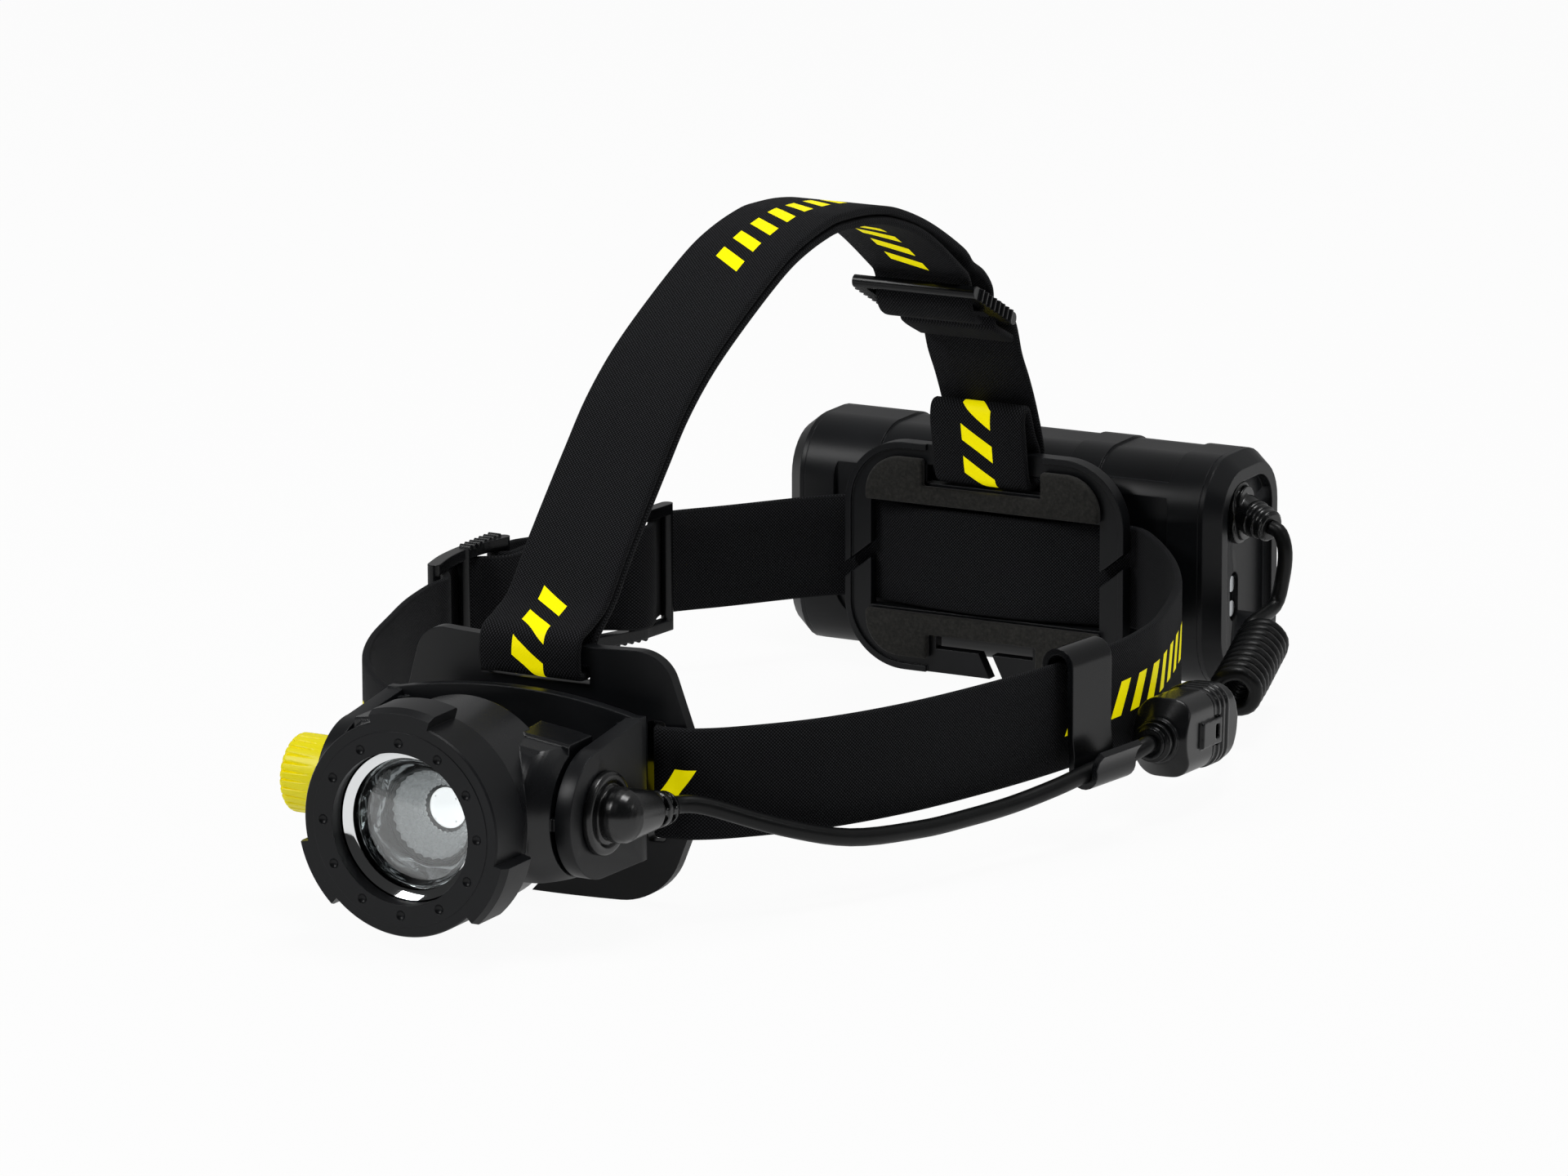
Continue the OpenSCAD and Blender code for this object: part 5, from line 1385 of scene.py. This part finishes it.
@dataclass
class Optics:
    """The window and its bright ring, the focusing lens, and the six-sided cells round the LED."""

    window_y: float = -164.1
    window_r: float = 14.46
    trim_r: float = 16.62
    lens_y: float = -162.6
    lens_r: float = 13.6
    flange_r: float = 16.2
    bowl_y: float = -155.5
    bowl_r: float = 9.8
    board_y: float = -149.1
    led_r: float = 4.3
    rows: int = 7
    columns: int = 28
    cell_mm: float = 0.45
    cell_top: float = 0.6
    steps: int = 16

    def bulge(self, r: float, y: float, rise: float) -> list[Point]:
        """Draws a shallow bulge towards -Y, from the axis out.

        Args:
            r: Its radius at the rim.
            y: Where the rim lies.
            rise: How far its middle stands in front of the rim.

        Returns:
            Points of radius and Y.
        """
        return [(r * s, y - rise * (1 - s * s)) for s in (k / self.steps for k in range(self.steps + 1))]

    def trim_section(self) -> list[Point]:
        """Draws the bright ring's section, whose front slopes in towards the window.

        Returns:
            Points of radius and Y.
        """
        y = self.window_y
        return [(self.trim_r, y - 1.0), (16.4, y - 1.1), (15.0, y - 0.1), (14.5, y + 0.05), (14.5, y + 0.5),
                (self.trim_r, y + 0.5)]

    def window_profile(self) -> list[Point]:
        """Draws the window, a thin dome.

        Returns:
            Points of radius and Y.
        """
        y = self.window_y + 0.02
        return self.bulge(self.window_r, y, 2.9) + self.bulge(self.window_r, y + 1.0, 2.7)[::-1]

    def lens_profile(self) -> list[Point]:
        """Draws the focusing lens, whose flange stands on the lens carrier.

        Returns:
            Points of radius and Y.
        """
        y, r = self.lens_y, self.flange_r
        flange = [(r, y + 0.1), (r, y + 1.6), (self.lens_r, y + 1.6)]
        return self.bulge(self.lens_r, y, 1.8) + flange + self.bulge(self.lens_r - 0.2, y + 1.4, 1.6)[::-1]

    def funnel_section(self) -> list[Point]:
        """Draws the section of the funnel that narrows from the lens to the bowl.

        Returns:
            Points of radius and Y.
        """
        y = self.lens_y
        return [(13.9, y + 1.8), (12.6, y + 4.4), (10.9, y + 6.6), (10.4, y + 7.6), (10.9, y + 7.6),
                (11.5, y + 6.6), (13.2, y + 4.4), (14.1, y + 1.8)]

    def bowl_section(self) -> list[Point]:
        """Draws the section of the reflector's bowl, which stands on the LED's board.

        Returns:
            Points of radius and Y.
        """
        y, low = self.bowl_y, self.board_y
        return [(self.bowl_r, y), (8.6, y + 2.3), (7.2, y + 4.3), (5.6, low - 0.6), (self.led_r, low - 0.05),
                (self.led_r + 1, low), (8.2, low - 1.1), (9.6, y + 2.5), (self.bowl_r + 0.25, y)]

    def led_profile(self) -> list[Point]:
        """Draws the LED's soft dome.

        Returns:
            Points of radius and Y.
        """
        y = self.board_y
        return [(0, y - 1.7), (1.6, y - 1.55), (3.0, y - 1.1), (3.9, y - 0.5), (4.25, y + 0.05),
                (0, y + 0.05)]

    def net(self) -> bpy.types.Object:
        """Lays a net of triangles on the inside of the bowl, for the cells.

        Returns:
            The net, named as the cells that it becomes.
        """
        inner, outer = self.led_r + 0.4, self.bowl_r - 0.1
        low, high = self.board_y - 0.2, self.bowl_y + 0.1
        points: list[Vector] = []
        for row in range(self.rows + 1):
            share = row / self.rows
            r, y = inner + (outer - inner) * share, low - (low - high) * share**1.6
            points += [round_lamp(r, y, 2 * math.pi * (k + 0.5 * (row % 2)) / self.columns)
                       for k in range(self.columns)]
        faces: list[Face] = []
        for row in range(self.rows):
            near, far = row * self.columns, (row + 1) * self.columns
            for k in range(self.columns):
                n = (k + 1) % self.columns
                if row % 2:
                    faces += [(near + k, far + n, far + k), (near + k, near + n, far + n)]
                else:
                    faces += [(near + k, near + n, far + k), (near + n, far + n, far + k)]
        return make_piece("reflector_cells", points, faces, CELL_PAINTED_HIGHLIGHT)

    def cells(self) -> bpy.types.Object:
        """Raises the six-sided cells on their net.

        Returns:
            The cells.
        """
        tree, ids = cells_tree()
        return grow(self.net(), tree, ids, {"Height": self.cell_mm * MM, "Size": self.cell_top,
                                            "Material": CELL_PAINTED_HIGHLIGHT.material()})

    def build(self) -> None:
        """Builds the optics over their solids."""
        trim = make_piece("bright_trim", *turned(self.trim_section()), CHROME, sharp=50)
        window = make_piece("clear_window", *turned(self.window_profile()), WINDOW_CLEAR)
        lens = make_piece("focusing_lens", *turned(self.lens_profile()), OPTIC_CLEAR)
        funnel = make_piece("optic_funnel", *turned(self.funnel_section()), FUNNEL)
        bowl = make_piece("reflector_bowl", *turned(self.bowl_section()), CELL_GAP)
        led = make_piece("led_dome", *turned(self.led_profile()), LED_DOME, sharp=60)
        settle(trim, Body.RING, "chrome", "lens_trim_ring")
        settle(window, Body.RING, "clear", "front_window")
        settle(lens, Body.LENS, "clear", "focus_optic")
        settle(funnel, Body.LENS, "chrome")
        settle(bowl, Body.LAMP, "aluminium")
        settle(led, Body.LAMP, "led_white")
        settle(self.cells(), Body.LAMP, "aluminium")


# ---------- stage ----------


@dataclass(frozen=True)
class SoftLamp:
    """A soft square lamp, with its place and its sides in metres and its power in watts."""

    name: str
    at: Point
    size: float
    power: float


@dataclass
class Stage:
    """A pale floor, a white surround, soft lamps and the camera, in metres."""

    camera_at: Point = (0.925471, -1.730566, 0.486120)
    camera_right: Point = (0.882637, 0.470048, -0.002591)
    camera_up: Point = (-0.107088, 0.206446, 0.972580)
    lens_mm: float = 202.9076
    floor_colour: str = "#f4f4f4"
    floor_gap: float = 0.0002
    floor_reach: tuple[float, float] = (-4, 6)
    seen_white: float = 0.95
    mirrored_white: float = 0.45
    soft_light: float = 0.1
    mirrored_room: tuple[float, float] = (0.03, 0.32)
    aim: Point = (0, 0, 0.02)
    lamps: tuple[SoftLamp, ...] = (
        SoftLamp("key", (-0.9, -1.3, 1.3), 0.7, 14), SoftLamp("top", (0.3, 0.1, 1.7), 0.6, 11),
        SoftLamp("side", (1.5, 0.0, 1.1), 0.25, 1.2))

    def floor(self) -> None:
        """Lays a plain floor just under the lowest point."""
        z = CAD_BOX[0][2] - self.floor_gap
        near, far = self.floor_reach
        mesh = bpy.data.meshes.new("floor")
        mesh.from_pydata([(near, near, z), (-near, near, z), (-near, far, z), (near, far, z)], [],
                         [(0, 1, 2, 3)])
        paper = bpy.data.materials.new("white_paper")
        paper.use_nodes = True
        tree = paper.node_tree
        tree.nodes.clear()
        rays = add_node(tree, "ShaderNodeLightPath")
        mirrored = add_node(tree, "ShaderNodeMath", {0: rays.outputs["Is Glossy Ray"],
                                                     1: rays.outputs["Is Transmission Ray"]},
                            operation="MAXIMUM")
        dimmed = add_node(tree, "ShaderNodeMath", {0: mirrored.outputs[0], 1: self.mirrored_white},
                          operation="MULTIPLY")
        direct = add_node(tree, "ShaderNodeMath", {0: rays.outputs["Is Camera Ray"], 1: self.seen_white},
                          operation="MULTIPLY")
        share = add_node(tree, "ShaderNodeMath", {0: direct.outputs[0], 1: dimmed.outputs[0]},
                         operation="MAXIMUM")
        matt = add_node(tree, "ShaderNodeBsdfDiffuse", {"Color": linear(self.floor_colour)})
        bright = add_node(tree, "ShaderNodeEmission", {"Color": (1, 1, 1, 1), "Strength": 1.0})
        mixed = add_node(tree, "ShaderNodeMixShader", {0: share.outputs[0], 1: matt.outputs[0],
                                                       2: bright.outputs[0]})
        add_node(tree, "ShaderNodeOutputMaterial", {0: mixed.outputs[0]})
        mesh.materials.append(paper)
        add_object("floor", mesh)

    def surround(self) -> None:
        """Makes the world: white where it is seen, and a plain soft light for the rest."""
        world = bpy.data.worlds.new("studio")
        bpy.context.scene.world = world
        world.use_nodes = True
        tree = world.node_tree
        tree.nodes.clear()
        rays = add_node(tree, "ShaderNodeLightPath")
        way = add_node(tree, "ShaderNodeSeparateXYZ",
                       {0: add_node(tree, "ShaderNodeTexCoord").outputs["Generated"]})
        # Behind the object stands the white backdrop, and the room in front of it is dim
        dim, lit = self.mirrored_room
        behind = add_node(tree, "ShaderNodeMapRange", {"Value": way.outputs["Y"], "From Min": -0.3,
                                                       "From Max": 0.5, "To Min": dim, "To Max": lit})
        mirrored = add_node(tree, "ShaderNodeMath", {0: rays.outputs["Is Glossy Ray"],
                                                     1: rays.outputs["Is Transmission Ray"]},
                            operation="MAXIMUM")
        soft = add_node(tree, "ShaderNodeMix", {0: mirrored.outputs[0], 2: self.soft_light,
                                                3: behind.outputs[0]}, data_type="FLOAT")
        strength = add_node(tree, "ShaderNodeMix", {0: rays.outputs["Is Camera Ray"], 2: soft.outputs[0],
                                                    3: 1.0}, data_type="FLOAT")
        light = add_node(tree, "ShaderNodeBackground", {"Color": (1, 1, 1, 1),
                                                        "Strength": strength.outputs[0]})
        add_node(tree, "ShaderNodeOutputWorld", {0: light.outputs[0]})

    def hang(self, lamp: SoftLamp) -> None:
        """Hangs a lamp that looks at the object.

        Args:
            lamp: The lamp.
        """
        data = bpy.data.lights.new(lamp.name, "AREA")
        data.size = lamp.size
        data.energy = lamp.power
        light = add_object(lamp.name, data)
        light.location = lamp.at
        light.rotation_euler = (Vector(self.aim) - Vector(lamp.at)).to_track_quat("-Z", "Y").to_euler()

    def camera(self) -> None:
        """Sets up the camera from where it stands and the ways that its right and top point."""
        right, up = Vector(self.camera_right), Vector(self.camera_up)
        back = right.cross(up)
        data = bpy.data.cameras.new("camera")
        data.sensor_width = 36
        data.lens = self.lens_mm
        data.clip_start, data.clip_end = 0.1, 30
        camera = add_object("camera", data)
        turn = Matrix((right, up, back)).transposed().to_4x4()
        camera.matrix_world = Matrix.Translation(Vector(self.camera_at)) @ turn
        bpy.context.scene.camera = camera

    def build(self) -> None:
        """Builds the stage."""
        bpy.context.scene.view_settings.view_transform = "Standard"
        self.camera()
        self.floor()
        self.surround()
        for lamp in self.lamps:
            self.hang(lamp)


def main() -> None:
    """Builds every piece in order."""
    logging.basicConfig(level=logging.INFO, format="%(name)s %(message)s")
    Stage().build()
    Cords().build(SoftMouldings().build())
    dress_solids()
    Straps().build()
    FoamPads().build()
    SmoothShells().build()
    Knob().build()
    Optics().build()


if __name__ == "__main__":
    main()
